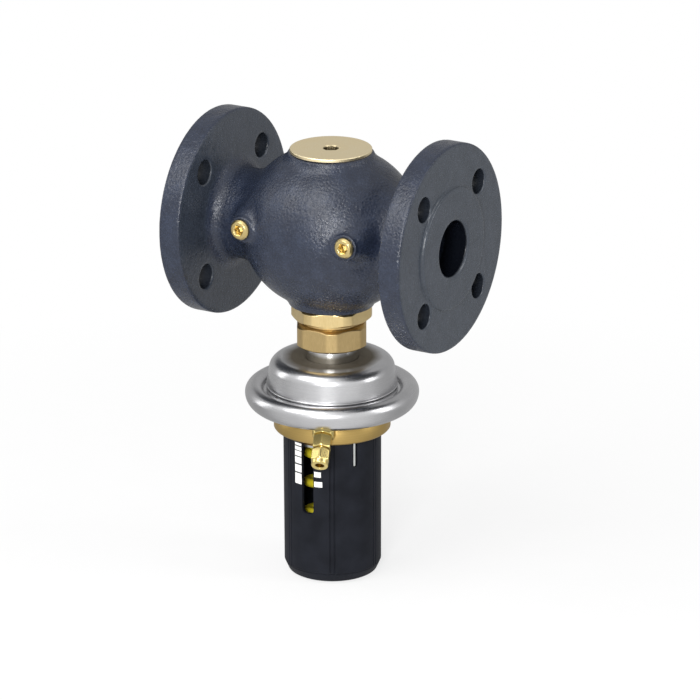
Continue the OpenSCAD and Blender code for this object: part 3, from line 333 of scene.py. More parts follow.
class Nodes:
    """Short ways to build a node tree."""

    def __init__(self, tree):
        self.tree = tree

    def add(self, kind, **settings):
        node = self.tree.nodes.new(kind)
        for key, value in settings.items():
            setattr(node, key, value)
        return node

    def link(self, source, target):
        self.tree.links.new(source, target)

    def feed(self, value, target):
        """Puts a number on a socket, or links a node's output to it."""
        if isinstance(value, (int, float)):
            target.default_value = value
        else:
            self.link(value, target)

    def math(self, operation, *inputs):
        node = self.add("ShaderNodeMath", operation=operation)
        for value, target in zip(inputs, node.inputs):
            self.feed(value, target)
        return node.outputs[0]

    def plus(self, a, b):
        return self.math("ADD", a, b)

    def times(self, a, b):
        return self.math("MULTIPLY", a, b)

    def length(self, a, b):
        """Length of the vector (a, b)."""
        return self.math("SQRT", self.plus(self.times(a, a), self.times(b, b)))

    def scaled(self, vector, scale):
        node = self.add("ShaderNodeVectorMath", operation="MULTIPLY")
        self.link(vector, node.inputs[0])
        node.inputs[1].default_value = scale
        return node.outputs[0]

    def parts(self, vector):
        node = self.add("ShaderNodeSeparateXYZ")
        self.link(vector, node.inputs[0])
        return node.outputs

    def joined(self, x, y, z):
        node = self.add("ShaderNodeCombineXYZ")
        for value, target in zip((x, y, z), node.inputs):
            self.feed(value, target)
        return node.outputs[0]

    def noise(self, vector, scale, detail=2.0, rough=0.5):
        node = self.add("ShaderNodeTexNoise")
        self.link(vector, node.inputs["Vector"])
        node.inputs["Scale"].default_value = scale
        node.inputs["Detail"].default_value = detail
        node.inputs["Roughness"].default_value = rough
        return node.outputs["Fac"]

    def cells(self, vector, scale):
        node = self.add("ShaderNodeTexVoronoi", feature="F1")
        self.link(vector, node.inputs["Vector"])
        node.inputs["Scale"].default_value = scale
        return node.outputs["Distance"]

    def ramp(self, value, stops):
        node = self.add("ShaderNodeValToRGB")
        elements = node.color_ramp.elements
        while len(elements) < len(stops):
            elements.new(0.5)
        for element, (position, colour) in zip(elements, stops):
            element.position = position
            element.color = (*colour, 1)
        self.link(value, node.inputs["Fac"])
        return node.outputs["Color"]

    def between(self, value, low, high, out_low, out_high):
        node = self.add("ShaderNodeMapRange")
        self.link(value, node.inputs["Value"])
        limits = {"From Min": low, "From Max": high, "To Min": out_low, "To Max": out_high}
        for key, number in limits.items():
            node.inputs[key].default_value = number
        return node.outputs["Result"]

    def mix(self, share, a, b):
        node = self.add("ShaderNodeMix", data_type="RGBA")
        self.link(share, node.inputs["Factor"])
        for socket_name, value in (("A", a), ("B", b)):
            target = [s for s in node.inputs if s.name == socket_name and s.type == "RGBA"][0]
            if isinstance(value, tuple):
                target.default_value = (*value, 1)
            else:
                self.link(value, target)
        return [s for s in node.outputs if s.type == "RGBA"][0]

    def blend(self, share, first, second):
        """A shader that goes from the first to the second with the share."""
        node = self.add("ShaderNodeMixShader")
        for value, target in zip((share, first, second), node.inputs):
            self.link(value, target)
        return node.outputs[0]

    def bump(self, height, strength, distance_mm):
        node = self.add("ShaderNodeBump")
        node.inputs["Strength"].default_value = strength
        node.inputs["Distance"].default_value = distance_mm * MM
        self.link(height, node.inputs["Height"])
        return node.outputs["Normal"]


class MaterialNodes(Nodes):
    """The nodes of one new material, with its shader and the object's own coordinates."""

    def __init__(self, name):
        self.material = bpy.data.materials.new(name)
        self.material.use_nodes = True
        super().__init__(self.material.node_tree)
        self.shader = self.tree.nodes["Principled BSDF"]
        self.place = self.add("ShaderNodeTexCoord").outputs["Object"]

    def finish(self, colour, rough, normal=None, metallic=0.0, **fixed):
        """Puts colour, roughness and bump on the shader, and constant values on its other sockets."""
        self.shader.inputs["Metallic"].default_value = metallic
        for key, value in (("Base Color", colour), ("Roughness", rough), ("Normal", normal)):
            if value is not None:
                self.feed(value, self.shader.inputs[key])
        for key, value in fixed.items():
            self.shader.inputs[key.replace("_", " ")].default_value = value
        return self.material


def radius_of(n, vector):
    """Distance from the Z axis."""
    x, y, _ = n.parts(vector)
    return n.length(x, y)


def cast_paint():
    """Dark slate paint: grained where cast, smoother where machined on the flanges, and with painted shade
    inside
    the bore and the bolt holes: a nearly black colour and a lower specular level there."""
    n = MaterialNodes("cast_iron_paint")
    x, y, z = n.parts(n.place)
    reach = n.length(y, z)
    on_flange = n.between(n.math("ABSOLUTE", x), *FLANGE_STARTS, 0, 1)
    off_rim = n.between(reach, *RIM_STARTS, 1, 0)
    machined_share = n.times(on_flange, off_rim)
    grain = n.noise(n.place, 680, 3, 0.65)
    pits = n.cells(n.place, 430)
    swell = n.noise(n.place, 95, 3, 0.55)
    fine = n.times(n.plus(grain, n.times(pits, 0.6)), n.between(machined_share, 0, 1, 1.0, 0.25))
    height = n.plus(fine, n.times(swell, 0.9))
    share = n.plus(n.times(grain, 0.5), n.times(swell, 0.5))
    cast = n.ramp(share, [
        (0.30, (0.008, 0.011, 0.023)), (0.52, (0.015, 0.021, 0.039)), (0.72, (0.028, 0.037, 0.065))])
    machined = n.ramp(share, [
        (0.30, (0.028, 0.035, 0.046)), (0.52, (0.037, 0.045, 0.059)), (0.72, (0.048, 0.057, 0.074))])
    bolt_y = n.math("SUBTRACT", n.math("ABSOLUTE", y), BOLT_REACH * MM)
    bolt_z = n.math("SUBTRACT", n.math("ABSOLUTE", z), BOLT_REACH * MM)
    # Painted shade: the bore and the bolt holes get a nearly black colour
    bore_shade = n.between(reach, *BORE_SHADE_ENDS, 1, 0)
    bolt_hole_shade = n.between(n.length(bolt_y, bolt_z), *BOLT_HOLE_SHADE_ENDS, 1, 0)
    inside = n.times(on_flange, n.math("MAXIMUM", bore_shade, bolt_hole_shade))
    colour = n.mix(inside, n.mix(machined_share, cast, machined), (0.004, 0.005, 0.008))
    rough = n.between(n.plus(grain, pits), 0.4, 1.3, 0.16, 0.34)
    # Painted shade also lowers the specular level inside the bore and the bolt holes
    n.link(n.between(inside, 0, 1, 0.5, 0.08), n.shader.inputs["Specular IOR Level"])
    return n.finish(colour, rough, n.bump(height, 1.0, 0.36))


def turned_metal(name, dark, light, rough_low, rough_high, along, line_mm=0.12, strength=0.35, socket_shade_mm=0):
    """Metal with fine tool lines. along is 'ring' for lines round the axis, 'drop' for lines down a side.
    Nearer to the axis than the socket radius given, the colour is darker: painted shade in a deep socket."""
    n = MaterialNodes(name)
    _, _, z = n.parts(n.place)
    if along == "ring":
        coordinate = n.joined(radius_of(n, n.place), 0.0, z)
    else:
        coordinate = n.scaled(n.place, (1.0, 1.0, 0.03))
    lines = n.noise(coordinate, 1.0 / (line_mm * MM), 2, 0.6)
    cloud = n.noise(n.place, 40, 3, 0.6)
    share = n.plus(n.times(lines, 0.65), n.times(cloud, 0.35))
    colour = n.ramp(share, [(0.30, dark), (0.68, light)])
    if socket_shade_mm:
        # Painted shade: inside the socket the colour becomes a darker copy of itself
        deep = n.between(radius_of(n, n.place), socket_shade_mm * MM, (socket_shade_mm + 0.3) * MM, 1, 0)
        colour = n.mix(deep, colour, tuple(0.25 * part for part in dark))
    rough = n.between(share, 0.3, 0.7, rough_high, rough_low)
    return n.finish(colour, rough, n.bump(lines, strength, 0.02), metallic=1.0)


def bell_metal():
    """Brushed steel sheet, browner and darker round the neck: a painted reflection of the parts above it.
    """
    n = MaterialNodes("brushed_steel")
    _, _, z = n.parts(n.place)
    reach = radius_of(n, n.place)
    lines = n.noise(n.joined(reach, 0.0, z), 9000, 2, 0.6)
    cloud = n.noise(n.place, 45, 3, 0.6)
    share = n.plus(n.times(lines, 0.6), n.times(cloud, 0.4))
    sheet = n.ramp(share, [(0.30, (0.42, 0.42, 0.43)), (0.68, (0.62, 0.62, 0.63))])
    # Painted reflection: a browner, darker colour round the neck standing for the parts mirrored above it
    painted_neck_reflection = n.ramp(share, [(0.30, (0.11, 0.095, 0.07)), (0.68, (0.21, 0.185, 0.145))])
    near_neck = n.between(n.plus(reach, n.times(cloud, 0.004)), *NECK_REFLECTION_ENDS, 1, 0)
    rough = n.plus(n.between(share, 0.3, 0.7, 0.36, 0.22), n.times(near_neck, 0.42))
    return n.finish(n.mix(near_neck, sheet, painted_neck_reflection), rough, n.bump(lines, 0.35, 0.02), metallic=1.0)


def plastic(name, dark, light, rough_low, rough_high, grain_scale=1400, strength=0.25, **fixed):
    """Plastic, paint or rubber: one colour a little clouded, with a fine grain."""
    n = MaterialNodes(name)
    grain = n.noise(n.place, grain_scale, 2, 0.5)
    cloud = n.noise(n.place, 60, 2, 0.5)
    colour = n.ramp(cloud, [(0.3, dark), (0.7, light)])
    rough = n.between(n.plus(grain, cloud), 0.7, 1.3, rough_low, rough_high)
    return n.finish(colour, rough, n.bump(grain, strength, 0.05), **fixed)


CAST = cast_paint()
# The cover's brass is darkened inside its hexagon socket as painted shade
COVER_BRASS = turned_metal("turned_brass", (0.84, 0.69, 0.41), (1.0, 0.87, 0.58), 0.32, 0.48, "ring",
                           line_mm=0.35, strength=0.9, socket_shade_mm=5.6)
HEX_BRASS = turned_metal("hex_brass", (0.60, 0.44, 0.19), (0.88, 0.70, 0.37), 0.24, 0.38, "drop")
NUT_BRASS = turned_metal("nut_brass", (0.42, 0.30, 0.13), (0.66, 0.49, 0.24), 0.28, 0.44, "drop")
BASE_BRASS = turned_metal("base_brass", (0.38, 0.26, 0.085), (0.54, 0.38, 0.14), 0.32, 0.46, "ring")
FIT_BRASS = turned_metal("fitting_brass", (0.52, 0.41, 0.13), (0.76, 0.61, 0.26), 0.16, 0.28, "drop")
PLUG_BRASS = turned_metal("plug_brass", (0.50, 0.38, 0.15), (0.76, 0.61, 0.29), 0.20, 0.34, "drop")
BELL_STEEL = bell_metal()
NECK_STEEL = turned_metal("polished_steel", (0.56, 0.56, 0.55), (0.78, 0.78, 0.77), 0.08, 0.16, "ring")
INNER_STEEL = turned_metal("machined_steel", (0.46, 0.47, 0.48), (0.62, 0.63, 0.64), 0.25, 0.40, "ring")
INNER_BRASS = turned_metal("machined_brass", (0.48, 0.34, 0.14), (0.62, 0.46, 0.22), 0.28, 0.42, "ring")
ZINC = turned_metal("zinc_plate", (0.46, 0.47, 0.46), (0.66, 0.67, 0.66), 0.30, 0.45, "ring")
BLACK = plastic("black_plastic", (0.007, 0.008, 0.0115), (0.012, 0.0135, 0.019), 0.46, 0.60,
                Specular_IOR_Level=0.1)
YELLOW = plastic("yellow_paint", (0.80, 0.66, 0.02), (0.92, 0.80, 0.05), 0.28, 0.42, 500, 0.35)
WHITE = plastic("white_print", (0.80, 0.80, 0.79), (0.90, 0.90, 0.89), 0.45, 0.60)
RUBBER = plastic("gasket_rubber", (0.020, 0.020, 0.021), (0.034, 0.034, 0.036), 0.55, 0.75)


# Valve body: cast skin with blended bosses, ports and bolt holes, in millimetres
FACE_X = float(span("valve_body")[1][0])
BELLY_R = 59
CAVITY_R = 51
BELLY_HALF_X = 6
NECK_R = 33
FLANGE_R = 75
FLANGE_X = 89.5
FLANGE_HALF_T = 8.5
RAISED_R = 44
BOSS_R = 30
BORE_R = 20
BOLT_HOLE_R = 9
COVER_HOLE_R = 24
INSERT_HOLE_R = 22
SEAT_R = 18
PORT_X = 42.5
PORT_Z = 6.8
PORT_R = 9.2
PORT_FRONT_Y = -54
PORT_BACK_Y = -30
FLARE = 5.8
FLARE_Y = -51
FLARE_LENGTH = 8
PLUG_R = 6.8
WEB_FLAT_X = 24
WEB_SLOPE = 0.9325
NECK_BLEND = 10
FLANGE_BLEND = 11.5
BOSS_BLEND = 6
PORT_BLEND = 7
HOLE_EDGE = 1.0
NET_CORNER = (101.5, 76.5, 76.5)
CAST_CELL = 1.15


def web_field(x, y, z, from_axis, from_heart):
    """Distance to the wall between the two chambers: level round the seat, slanting out to the shell."""
    beyond = np.maximum(np.abs(x) - WEB_FLAT_X, 0)
    from_middle = np.abs(z - 1 - np.sign(x) * beyond * WEB_SLOPE)
    web = (from_middle - 3.5 - beyond * 0.031) * np.where(np.abs(x) > WEB_FLAT_X, 0.731, 1.0)
    web = np.minimum(web, np.maximum(from_axis - WEB_FLAT_X, np.abs(z - 2.25) - 4.75))
    return np.maximum(web, from_heart - (BELLY_R - 1))


def body_field(x, y, z):
    """Distance to the body's skin in millimetres, below zero in the iron."""
    ax = np.abs(x)
    from_pipe = np.sqrt(y * y + z * z)
    from_axis = np.sqrt(x * x + y * y)
    bx = np.maximum(ax - BELLY_HALF_X, 0)
    from_heart = np.sqrt(bx * bx + y * y + z * z)
    belly = smooth_max(from_heart - BELLY_R, np.abs(z) - BOSS_Z, 1.2)
    neck = np.maximum(from_pipe - NECK_R, ax - 90)
    flange = smooth_max(from_pipe - FLANGE_R, np.abs(ax - FLANGE_X) - FLANGE_HALF_T, 2.0)
    raised = np.maximum(smooth_max(from_pipe - RAISED_R, ax - FACE_X, 0.8), 90 - ax)
    boss = smooth_max(from_axis - BOSS_R, np.abs(z) - BOSS_Z, 1.2)
    port_r = np.sqrt((ax - PORT_X) ** 2 + (z - PORT_Z) ** 2)
    flare = FLARE * (1 - np.exp(-np.maximum(y - FLARE_Y, 0) / FLARE_LENGTH))
    port = smooth_max(port_r - PORT_R - flare, PORT_FRONT_Y - y, 1.4)
    port = np.maximum(port, y - PORT_BACK_Y)
    skin = smooth_min(belly, neck, NECK_BLEND)
    skin = smooth_min(skin, flange, FLANGE_BLEND)
    skin = np.minimum(skin, raised)
    skin = smooth_min(skin, boss, BOSS_BLEND)
    skin = smooth_min(skin, port, PORT_BLEND)
    bore = np.maximum(from_pipe - BORE_R - np.maximum(ax - FACE_X + 1.5, 0), 50 - ax)
    hollow = np.minimum(from_heart - CAVITY_R, bore)
    hollow = smooth_max(hollow, -web_field(x, y, z, from_axis, from_heart), 2.0)
    seat_hole = np.maximum(from_axis - SEAT_R, np.abs(z - 2) - 9)
    top_hole = np.maximum(from_axis - COVER_HOLE_R, 42 - z)
    low_hole = np.maximum(from_axis - INSERT_HOLE_R, z + 42)
    plug_hole = np.maximum(port_r - PLUG_R, y - PORT_BACK_Y)
    bolt = np.hypot(np.abs(y) - BOLT_REACH, np.abs(z) - BOLT_REACH)
    bolt_hole = np.maximum(bolt - BOLT_HOLE_R, 78 - ax)
    for hole in (hollow, seat_hole, top_hole, low_hole, plug_hole, bolt_hole):
        skin = smooth_max(skin, -hole, HOLE_EDGE)
    return skin


body = surface_net("body_casting", body_field, [-v for v in NET_CORNER], NET_CORNER,
                   CAST_CELL)
dress(smooth(body), "valve", "cast_iron_paint", CAST, "valve_body")


# Top cover: hexagon socket above, one flat at the bearing seen in the photo, and a pocket below for
# the balance piston's nut
COVER_AF = 10
COVER_TURN = 30.33
cover_z = high_z("top_cover")
cover_low = low_z("top_cover")
pocket_r = float(span("balance_cylinder")[1][0]) + 0.05
pocket_z = cover_low + 4
cover = lathe("cover_disc", rounded([
    (0, pocket_z, 0), (pocket_r, pocket_z, 0), (pocket_r, cover_low, 0), (23.4, cover_low, 0.5),
    (23.9, cover_low + 1, 0.3), (23.9, BOSS_Z + 0.65, 0), (28.8, BOSS_Z + 0.65, 0.2),
    (29.3, BOSS_Z + 1.1, 0.3), (29.3, cover_z - 0.5, 0.3), (28.8, cover_z, 0.3), (6.2, cover_z, 0.3),
    (5, cover_z - 0.9, 0.2), (5, cover_z - 6, 0.2), (0, cover_z - 6.6, 0)]),
    ROUND_COLUMNS, socket(COVER_AF, 8.5, turn=COVER_TURN))
dress(smooth(cover), "valve", "turned_brass", COVER_BRASS, "top_cover")


# Two port plugs with hexagon sockets
PLUG_AF = 6


def facing_port(side):
    """Puts a piece turned about +Z into the port on one side, with its +Z end outward."""
    def place(points):
        return np.stack([points[:, 0] + side * PORT_X, -points[:, 2], points[:, 1] + PORT_Z], axis=1)
    return place


for side, label in ((-1, "left"), (1, "right")):
    plug = lathe("port_plug_" + label, rounded([
        (0, 40, 0), (6.2, 40, 0.3), (6.7, 40.6, 0.2), (6.7, 54.1, 0.1), (7.3, 54.1, 0.1),
        (7.3, 55.6, 0.5), (6.0, 57.2, 0.8), (3.9, 57.6, 0.4), (3, 56.6, 0.2), (3, 50.8, 0.2),
        (0, 50.2, 0)]), columns=96, shape=socket(PLUG_AF, 4.6), place=facing_port(side))
    dress(smooth(plug), "valve", "bright_brass", PLUG_BRASS, *(["port_plugs"] if side < 0 else []))


# Insert with its turned hexagon. Sides are split, so that the hexagon's edges keep their arcs
INSERT_AF = 53.6
INSERT_TURN = 23.8
insert_top = high_z("insert_gasket") - GASKET_T
insert_low = high_z("insert_gasket") - 10.9
insert_outline = split_long(rounded([
    (12, -43, 0), (21.9, -43, 0.4), (21.9, insert_top, 0), (26.4, insert_top, 0.3),
    (29.0, insert_top - 1.5, 0.5), (29.0, insert_low + 1.6, 0.5), (26.6, insert_low, 0.3),
    (22.0, insert_low, 0.2), (22.0, -69.9, 0.2), (20.95, -69.9, 0.1), (20.95, -79.4, 0.4),
    (12, -79.4, 0)]), HEX_STEP)
insert = lathe("insert_hexagon", insert_outline, FINE_COLUMNS, hexagonal(INSERT_AF, INSERT_TURN))
dress(smooth(insert), "valve", "turned_brass", HEX_BRASS, "valve_insert")


# Union nut
NUT_AF = 49.6
nut_top, nut_low = high_z("union_nut"), low_z("union_nut")
nut_outline = split_long(rounded([
    (21.05, nut_top, 0), (23.9, nut_top, 0.3), (26.65, nut_top - 1.7, 0.5), (26.65, nut_low + 1.7, 0.5),
    (23.9, nut_low, 0.4), (20.6, nut_low, 0.3), (19.6, nut_low + 0.8, 0.2), (19.6, -82.5, 0),
    (21.05, -82.5, 0)]), HEX_STEP)
nut = lathe("union_nut_hexagon", nut_outline, FINE_COLUMNS, hexagonal(NUT_AF))
dress(smooth(nut), "valve", "nut_brass", NUT_BRASS, "union_nut")


# Neck
neck = lathe("neck_polished", rounded([
    (16.5, -80.6, 0), (20.6, -80.6, 0.3), (20.6, -82.4, 0.3), (19.25, -82.4, 0), (19.25, -98.3, 0.2),
    (16.5, -98.3, 0.2)]), ROUND_COLUMNS)
dress(smooth(neck), "valve", "polished_steel", NECK_STEEL, "neck_tube")


# Upper casing: deep-drawn sheet
BELL_TOP = high_z("upper_casing")
CLAMP_Z = low_z("upper_casing")
SHEET = 1.6
SHOULDER_R = 9
SHOULDER_CX = 36.4
WALL_LEAN = 8.4
WALL_FALL = 11
CLAMP_R = 56.0
FOOT_TURN = ((0.25, -0.2), (0.42, -0.55), (0.38, -0.95), (0.0, -1.5), (-0.6, -2.1), (-0.9, -2.6))


def bell_side(inset):
    """One face of the bell's sheet, from the flat top down to the turn above the rim."""
    radius = SHOULDER_R - inset
    cz = BELL_TOP - SHOULDER_R
    lean = math.radians(WALL_LEAN)
    foot_z = cz - WALL_FALL
    start = np.array((SHOULDER_CX + radius * math.cos(lean), cz + radius * math.sin(lean)))
    foot = np.array((start[0] + (start[1] - foot_z) * math.tan(lean), foot_z))
    shoulder = arc(SHOULDER_CX, cz, radius, 90, WALL_LEAN, 20)
    return shoulder + [foot] + [foot + np.array(step) for step in FOOT_TURN]


outer_side, inner_side = bell_side(0), bell_side(SHEET)
outer_foot_r, inner_foot_r = outer_side[-1][0], inner_side[-1][0]
clamp_flange = [
    (outer_foot_r + 0.3, CLAMP_Z + SHEET + 0.6), (outer_foot_r + 1.0, CLAMP_Z + SHEET),
    (CLAMP_R, CLAMP_Z + SHEET), (CLAMP_R, CLAMP_Z), (inner_foot_r, CLAMP_Z)]
bell_outline = (
    [np.array((19.3, BELL_TOP - 0.3)), np.array((19.6, BELL_TOP))] + outer_side
    + [np.array(point) for point in clamp_flange]
    + inner_side[::-1] + [np.array((19.3, BELL_TOP - SHEET))])
bell = lathe("bell_casing", bell_outline, FINE_COLUMNS)
dress(smooth(bell, 40), "valve", "brushed_steel", BELL_STEEL, "upper_casing")


# Rolled rim: one arc over the bell's flange down to its lip, and one under the lower casing's
RIM_R = float(span("rolled_rim")[1][0])
RIM_LOW = low_z("rolled_rim")
RIM_CZ = CLAMP_Z - 0.8 + 0.1
RIM_IN_R = 42.6
TOP_TURN = 7.0
LIP = 180 - 24
top_cx = RIM_R - TOP_TURN
low_turn = RIM_CZ - RIM_LOW
low_cx = RIM_R - low_turn
rim_outline = (
    arc(top_cx, RIM_CZ, TOP_TURN, LIP, 0, 40) + arc(low_cx, RIM_CZ, low_turn, 0, -90, 40)[1:]
    + [np.array((RIM_IN_R, RIM_LOW)), np.array((RIM_IN_R, RIM_LOW + SHEET))]
    + arc(low_cx, RIM_CZ, low_turn - SHEET, -90, 0, 30)
    + arc(top_cx, RIM_CZ, TOP_TURN - SHEET, 0, LIP, 30)[1:])
rim = lathe("rim_roll", rim_outline, FINE_COLUMNS)
dress(smooth(rim, 50), "valve", "brushed_steel", BELL_STEEL, "rolled_rim")


# Lower casing: the ring, with the groove that the handle snaps into
ring = lathe("base_ring", rounded([
    (31.0, -132.6, 0), (42.2, -132.6, 0), (42.2, BASE_LOW + 6.4, 0.5), (41.4, BASE_LOW + 5.4, 0.3),
    (31.8, BASE_LOW + 5.4, 0.3), (31.8, BASE_LOW + 3.25, 0.2), (30.4, BASE_LOW + 3.25, 0.2),
    (30.4, BASE_LOW + 0.3, 0.1), (31.8, BASE_LOW + 0.3, 0.1), (31.8, BASE_LOW, 0.1), (12, BASE_LOW, 0),
    (12, -137.5, 0), (31.0, -137.5, 0)]), FINE_COLUMNS)
dress(smooth(ring), "valve", "nut_brass", BASE_BRASS, "lower_casing")


# Sensing port: boss, fitting body and nut, along the port's own axis
PORT_BOSS_AF = 16.6
FITTING_AF = 12.6
FITTING_STEP = 0.5
FITTING_COLUMNS = 180
FITTING_SOFT = 0.5
port_boss = lathe("port_boss", rounded([
    (0, -4, 0), (9.3, -4, 0), (9.3, 1.6, 0.3), (8.4, 3.4, 0.5), (7.6, 5.5, 0.5), (0, 5.5, 0)]),
    columns=120, shape=hexagonal(PORT_BOSS_AF, soft=FITTING_SOFT), place=along_port)
dress(smooth(port_boss), "valve", "nut_brass", FIT_BRASS)
fitting = lathe("fitting_hexagon", split_long(rounded([
    (2.1, 5.5, 0), (6.3, 5.5, 0.3), (7.3, 6.4, 0.4), (7.3, 14.6, 0.4), (6.3, 16.0, 0.3), (4.9, 16.0, 0.1),
    (4.9, 17.6, 0), (2.1, 17.6, 0)]), FITTING_STEP), FITTING_COLUMNS,
    hexagonal(FITTING_AF, soft=FITTING_SOFT), place=along_port)
dress(smooth(fitting), "valve", "bright_brass", FIT_BRASS, "fitting_body")
fitting_nut = lathe("fitting_nut_hexagon", split_long(rounded([
    (3.1, 17.1, 0), (6.2, 17.1, 0.3), (7.3, 18.0, 0.4), (7.3, 25.2, 0.5), (6.3, 26.4, 0.4),
    (6.1, 28.9, 0.4), (5.7, 29.35, 0.3), (3.5, 29.35, 0.3), (3.1, 28.8, 0.2), (3.1, 22.6, 0.2),
    (0.0, 22.6, 0), (0.0, 21.6, 0), (3.1, 21.6, 0)]), FITTING_STEP), FITTING_COLUMNS,
    hexagonal(FITTING_AF, soft=FITTING_SOFT), place=along_port)
dress(smooth(fitting_nut), "valve", "bright_brass", FIT_BRASS, "fitting_nut")


# Spring seat: pale rim over the first coil
seat_top = high_z("spring_seat")
seat = lathe("spring_seat_disc", rounded([
    (6.4, SPRING_TOP, 0.2), (31.3, SPRING_TOP, 0.4), (31.3, seat_top, 0.4), (6.4, seat_top, 0.2)]),
    ROUND_COLUMNS)
dress(smooth(seat), "valve", "zinc_plate", ZINC, "spring_seat")


# Setting spring: one smooth wire with closed end turns
WIRE = 6.5
COIL_R = 18.25
CLOSED_PITCH = 7.0
ACTIVE_TURNS = 2.5
ACTIVE_PITCH = (SPRING_TOP - SPRING_LOW - WIRE - 2 * CLOSED_PITCH) / ACTIVE_TURNS
SPRING_BEARING = -21
WIRE_SIDES = 20
STEPS_PER_TURN = 48
PITCH_BLEND = 0.12


def coil_drop(t):
    """How far the wire's middle is below its top end after t turns."""
    active = np.clip(t - 1, 0, ACTIVE_TURNS)
    return (t - active) * CLOSED_PITCH + active * ACTIVE_PITCH


def spring_mesh():
    """The wire as one tube, with its pitch blended over a part of a turn and its ends ground flat."""
    turns, sides = 2 + ACTIVE_TURNS, WIRE_SIDES
    t = np.linspace(0, turns, int(turns * STEPS_PER_TURN) + 1)
    soft = np.linspace(-PITCH_BLEND, PITCH_BLEND, 9)
    drop = np.mean([coil_drop(np.clip(t + s, 0, turns)) for s in soft], axis=0)
    turn = math.radians(SPRING_BEARING - 90) - 2 * math.pi * t
    out = np.stack([np.cos(turn), np.sin(turn), 0 * t], axis=1)
    centre = COIL_R * out + np.array((0, 0, 1)) * (SPRING_TOP - WIRE / 2 - drop)[:, None]
    a = np.linspace(0, 2 * math.pi, sides, endpoint=False)
    rings = (centre[:, None] + WIRE / 2 * (np.cos(a)[None, :, None] * out[:, None]
             + np.sin(a)[None, :, None] * np.array((0, 0, 1.0))))
    rings[..., 2] = np.clip(rings[..., 2], SPRING_LOW, SPRING_TOP - 0.1)
    points = rings.reshape(-1, 3)
    n = len(t)
    faces = [(i * sides + k, i * sides + (k + 1) % sides, (i + 1) * sides + (k + 1) % sides,
              (i + 1) * sides + k) for i in range(n - 1) for k in range(sides)]
    faces += [tuple(range(sides)), tuple(range((n - 1) * sides, n * sides))]
    return make_object("spring_coil", points, faces)


spring = smooth(spring_mesh(), 50)
dress(spring, "valve", "yellow_paint", YELLOW, "setting_spring")
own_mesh(spring)


# Setting handle: moulded tube with paired lines, keyways, a window and a narrow slot
HANDLE_R = 35.4
HANDLE_LOW_R = 35.2
HANDLE_IN_R = 32.4
KEYS = 6
KEY_DEPTH = 1.5
KEY_HALF_W = 3.05
KEY_FLANK = 0.1
LINE_PITCH = 3.1
LINE_DEPTH = 0.5
LINE_HALF_W = 0.5
LINE_FLANK = 0.18
LINE_COLUMNS = (-0.9, -0.62, -0.35, 0, 0.35, 0.62, 0.9)
KEY_COLUMNS = (-0.15, 0.15)
SNAP_Z = BASE_LOW + 0.6
SNAP_R = HANDLE_IN_R - 1.65
KEYWAY_TOP = SNAP_Z - 1.6

# Width, length and corner radius of the two openings
WINDOW = (9.4, 56.3, 3.2)
SLOT = (3.8, 20.2, 1.9)
WINDOW_BEARING = 0
SLOT_BEARING = 57.8


def bearing_angle(bearing):
    """Angle from +X of a bearing counted from the front."""
    return math.radians(bearing - 90)


def handle_angles():
    """Angles of the handle's columns: every two degrees, and closer at the lines and keyways."""
    base = list(np.radians(np.arange(0, 360, 2.0)))
    for k in range(KEYS):
        middle = (k + 0.5) * 360 / KEYS
        for side in (-1, 1):
            line = middle + side * math.degrees(LINE_PITCH / 2 / HANDLE_R)
            base += [bearing_angle(line + d) for d in LINE_COLUMNS]
            key = middle + side * math.degrees((KEY_HALF_W - KEY_FLANK / 2) / HANDLE_IN_R)
            base += [bearing_angle(key + d) for d in KEY_COLUMNS]
    return np.array(sorted(set(np.round(np.array(base) % (2 * math.pi), 6))))


def handle_shape(r, z, angle):
    """Lines cut in the outside and keyways in the inside."""
    sector = 2 * math.pi / KEYS
    off = (angle - bearing_angle(180 / KEYS) + sector / 2) % sector - sector / 2
    from_line = np.abs(np.abs(off) * HANDLE_R - LINE_PITCH / 2)
    cut = LINE_DEPTH * np.clip((LINE_HALF_W - from_line) / LINE_FLANK, 0, 1)
    key = KEY_DEPTH * np.clip((KEY_HALF_W - np.abs(off) * HANDLE_IN_R) / KEY_FLANK, 0, 1)
    outside = (r > 34.2) & (z > HANDLE_LOW + 0.4)
    inside = (np.abs(r - HANDLE_IN_R) < 0.2) & (z < KEYWAY_TOP + 0.05)
    return r - np.where(outside, cut, 0) + np.where(inside, key, 0)


def cutter(width, length, corner, bearing):
    """A rounded slot, open at the handle's top, as a solid to cut with. It runs past the wall all round."""
    top = HANDLE_TOP + 2
    low = HANDLE_TOP - length
    outline = ([np.array((-width / 2, top)), np.array((width / 2, top))][::-1]
               + arc(-width / 2 + corner, low + corner, corner, 180, 270, 8)
               + arc(width / 2 - corner, low + corner, corner, 270, 360, 8))
    turn = bearing_angle(bearing)
    points = []
    for reach in (HANDLE_IN_R - 4, HANDLE_R + 4):
        for across, z in outline:
            points.append((reach * math.cos(turn) - across * math.sin(turn),
                           reach * math.sin(turn) + across * math.cos(turn), z))
    n = len(outline)
    faces = [tuple(range(n)), tuple(range(n, 2 * n))]
    faces += [(i, (i + 1) % n, n + (i + 1) % n, n + i) for i in range(n)]
    return make_object("cutter", points, faces)


def cut_out(obj, tools):
    """Cuts tools out of obj for good, and deletes them."""
    for tool in tools:
        change = obj.modifiers.new("cut", "BOOLEAN")
        change.operation = "DIFFERENCE"
        change.solver = "EXACT"
        change.object = tool
    bpy.context.view_layer.update()
    mesh = bpy.data.meshes.new_from_object(obj.evaluated_get(bpy.context.evaluated_depsgraph_get()))
    obj.modifiers.clear()
    obj.data = mesh
    for tool in tools:
        bpy.data.objects.remove(tool)


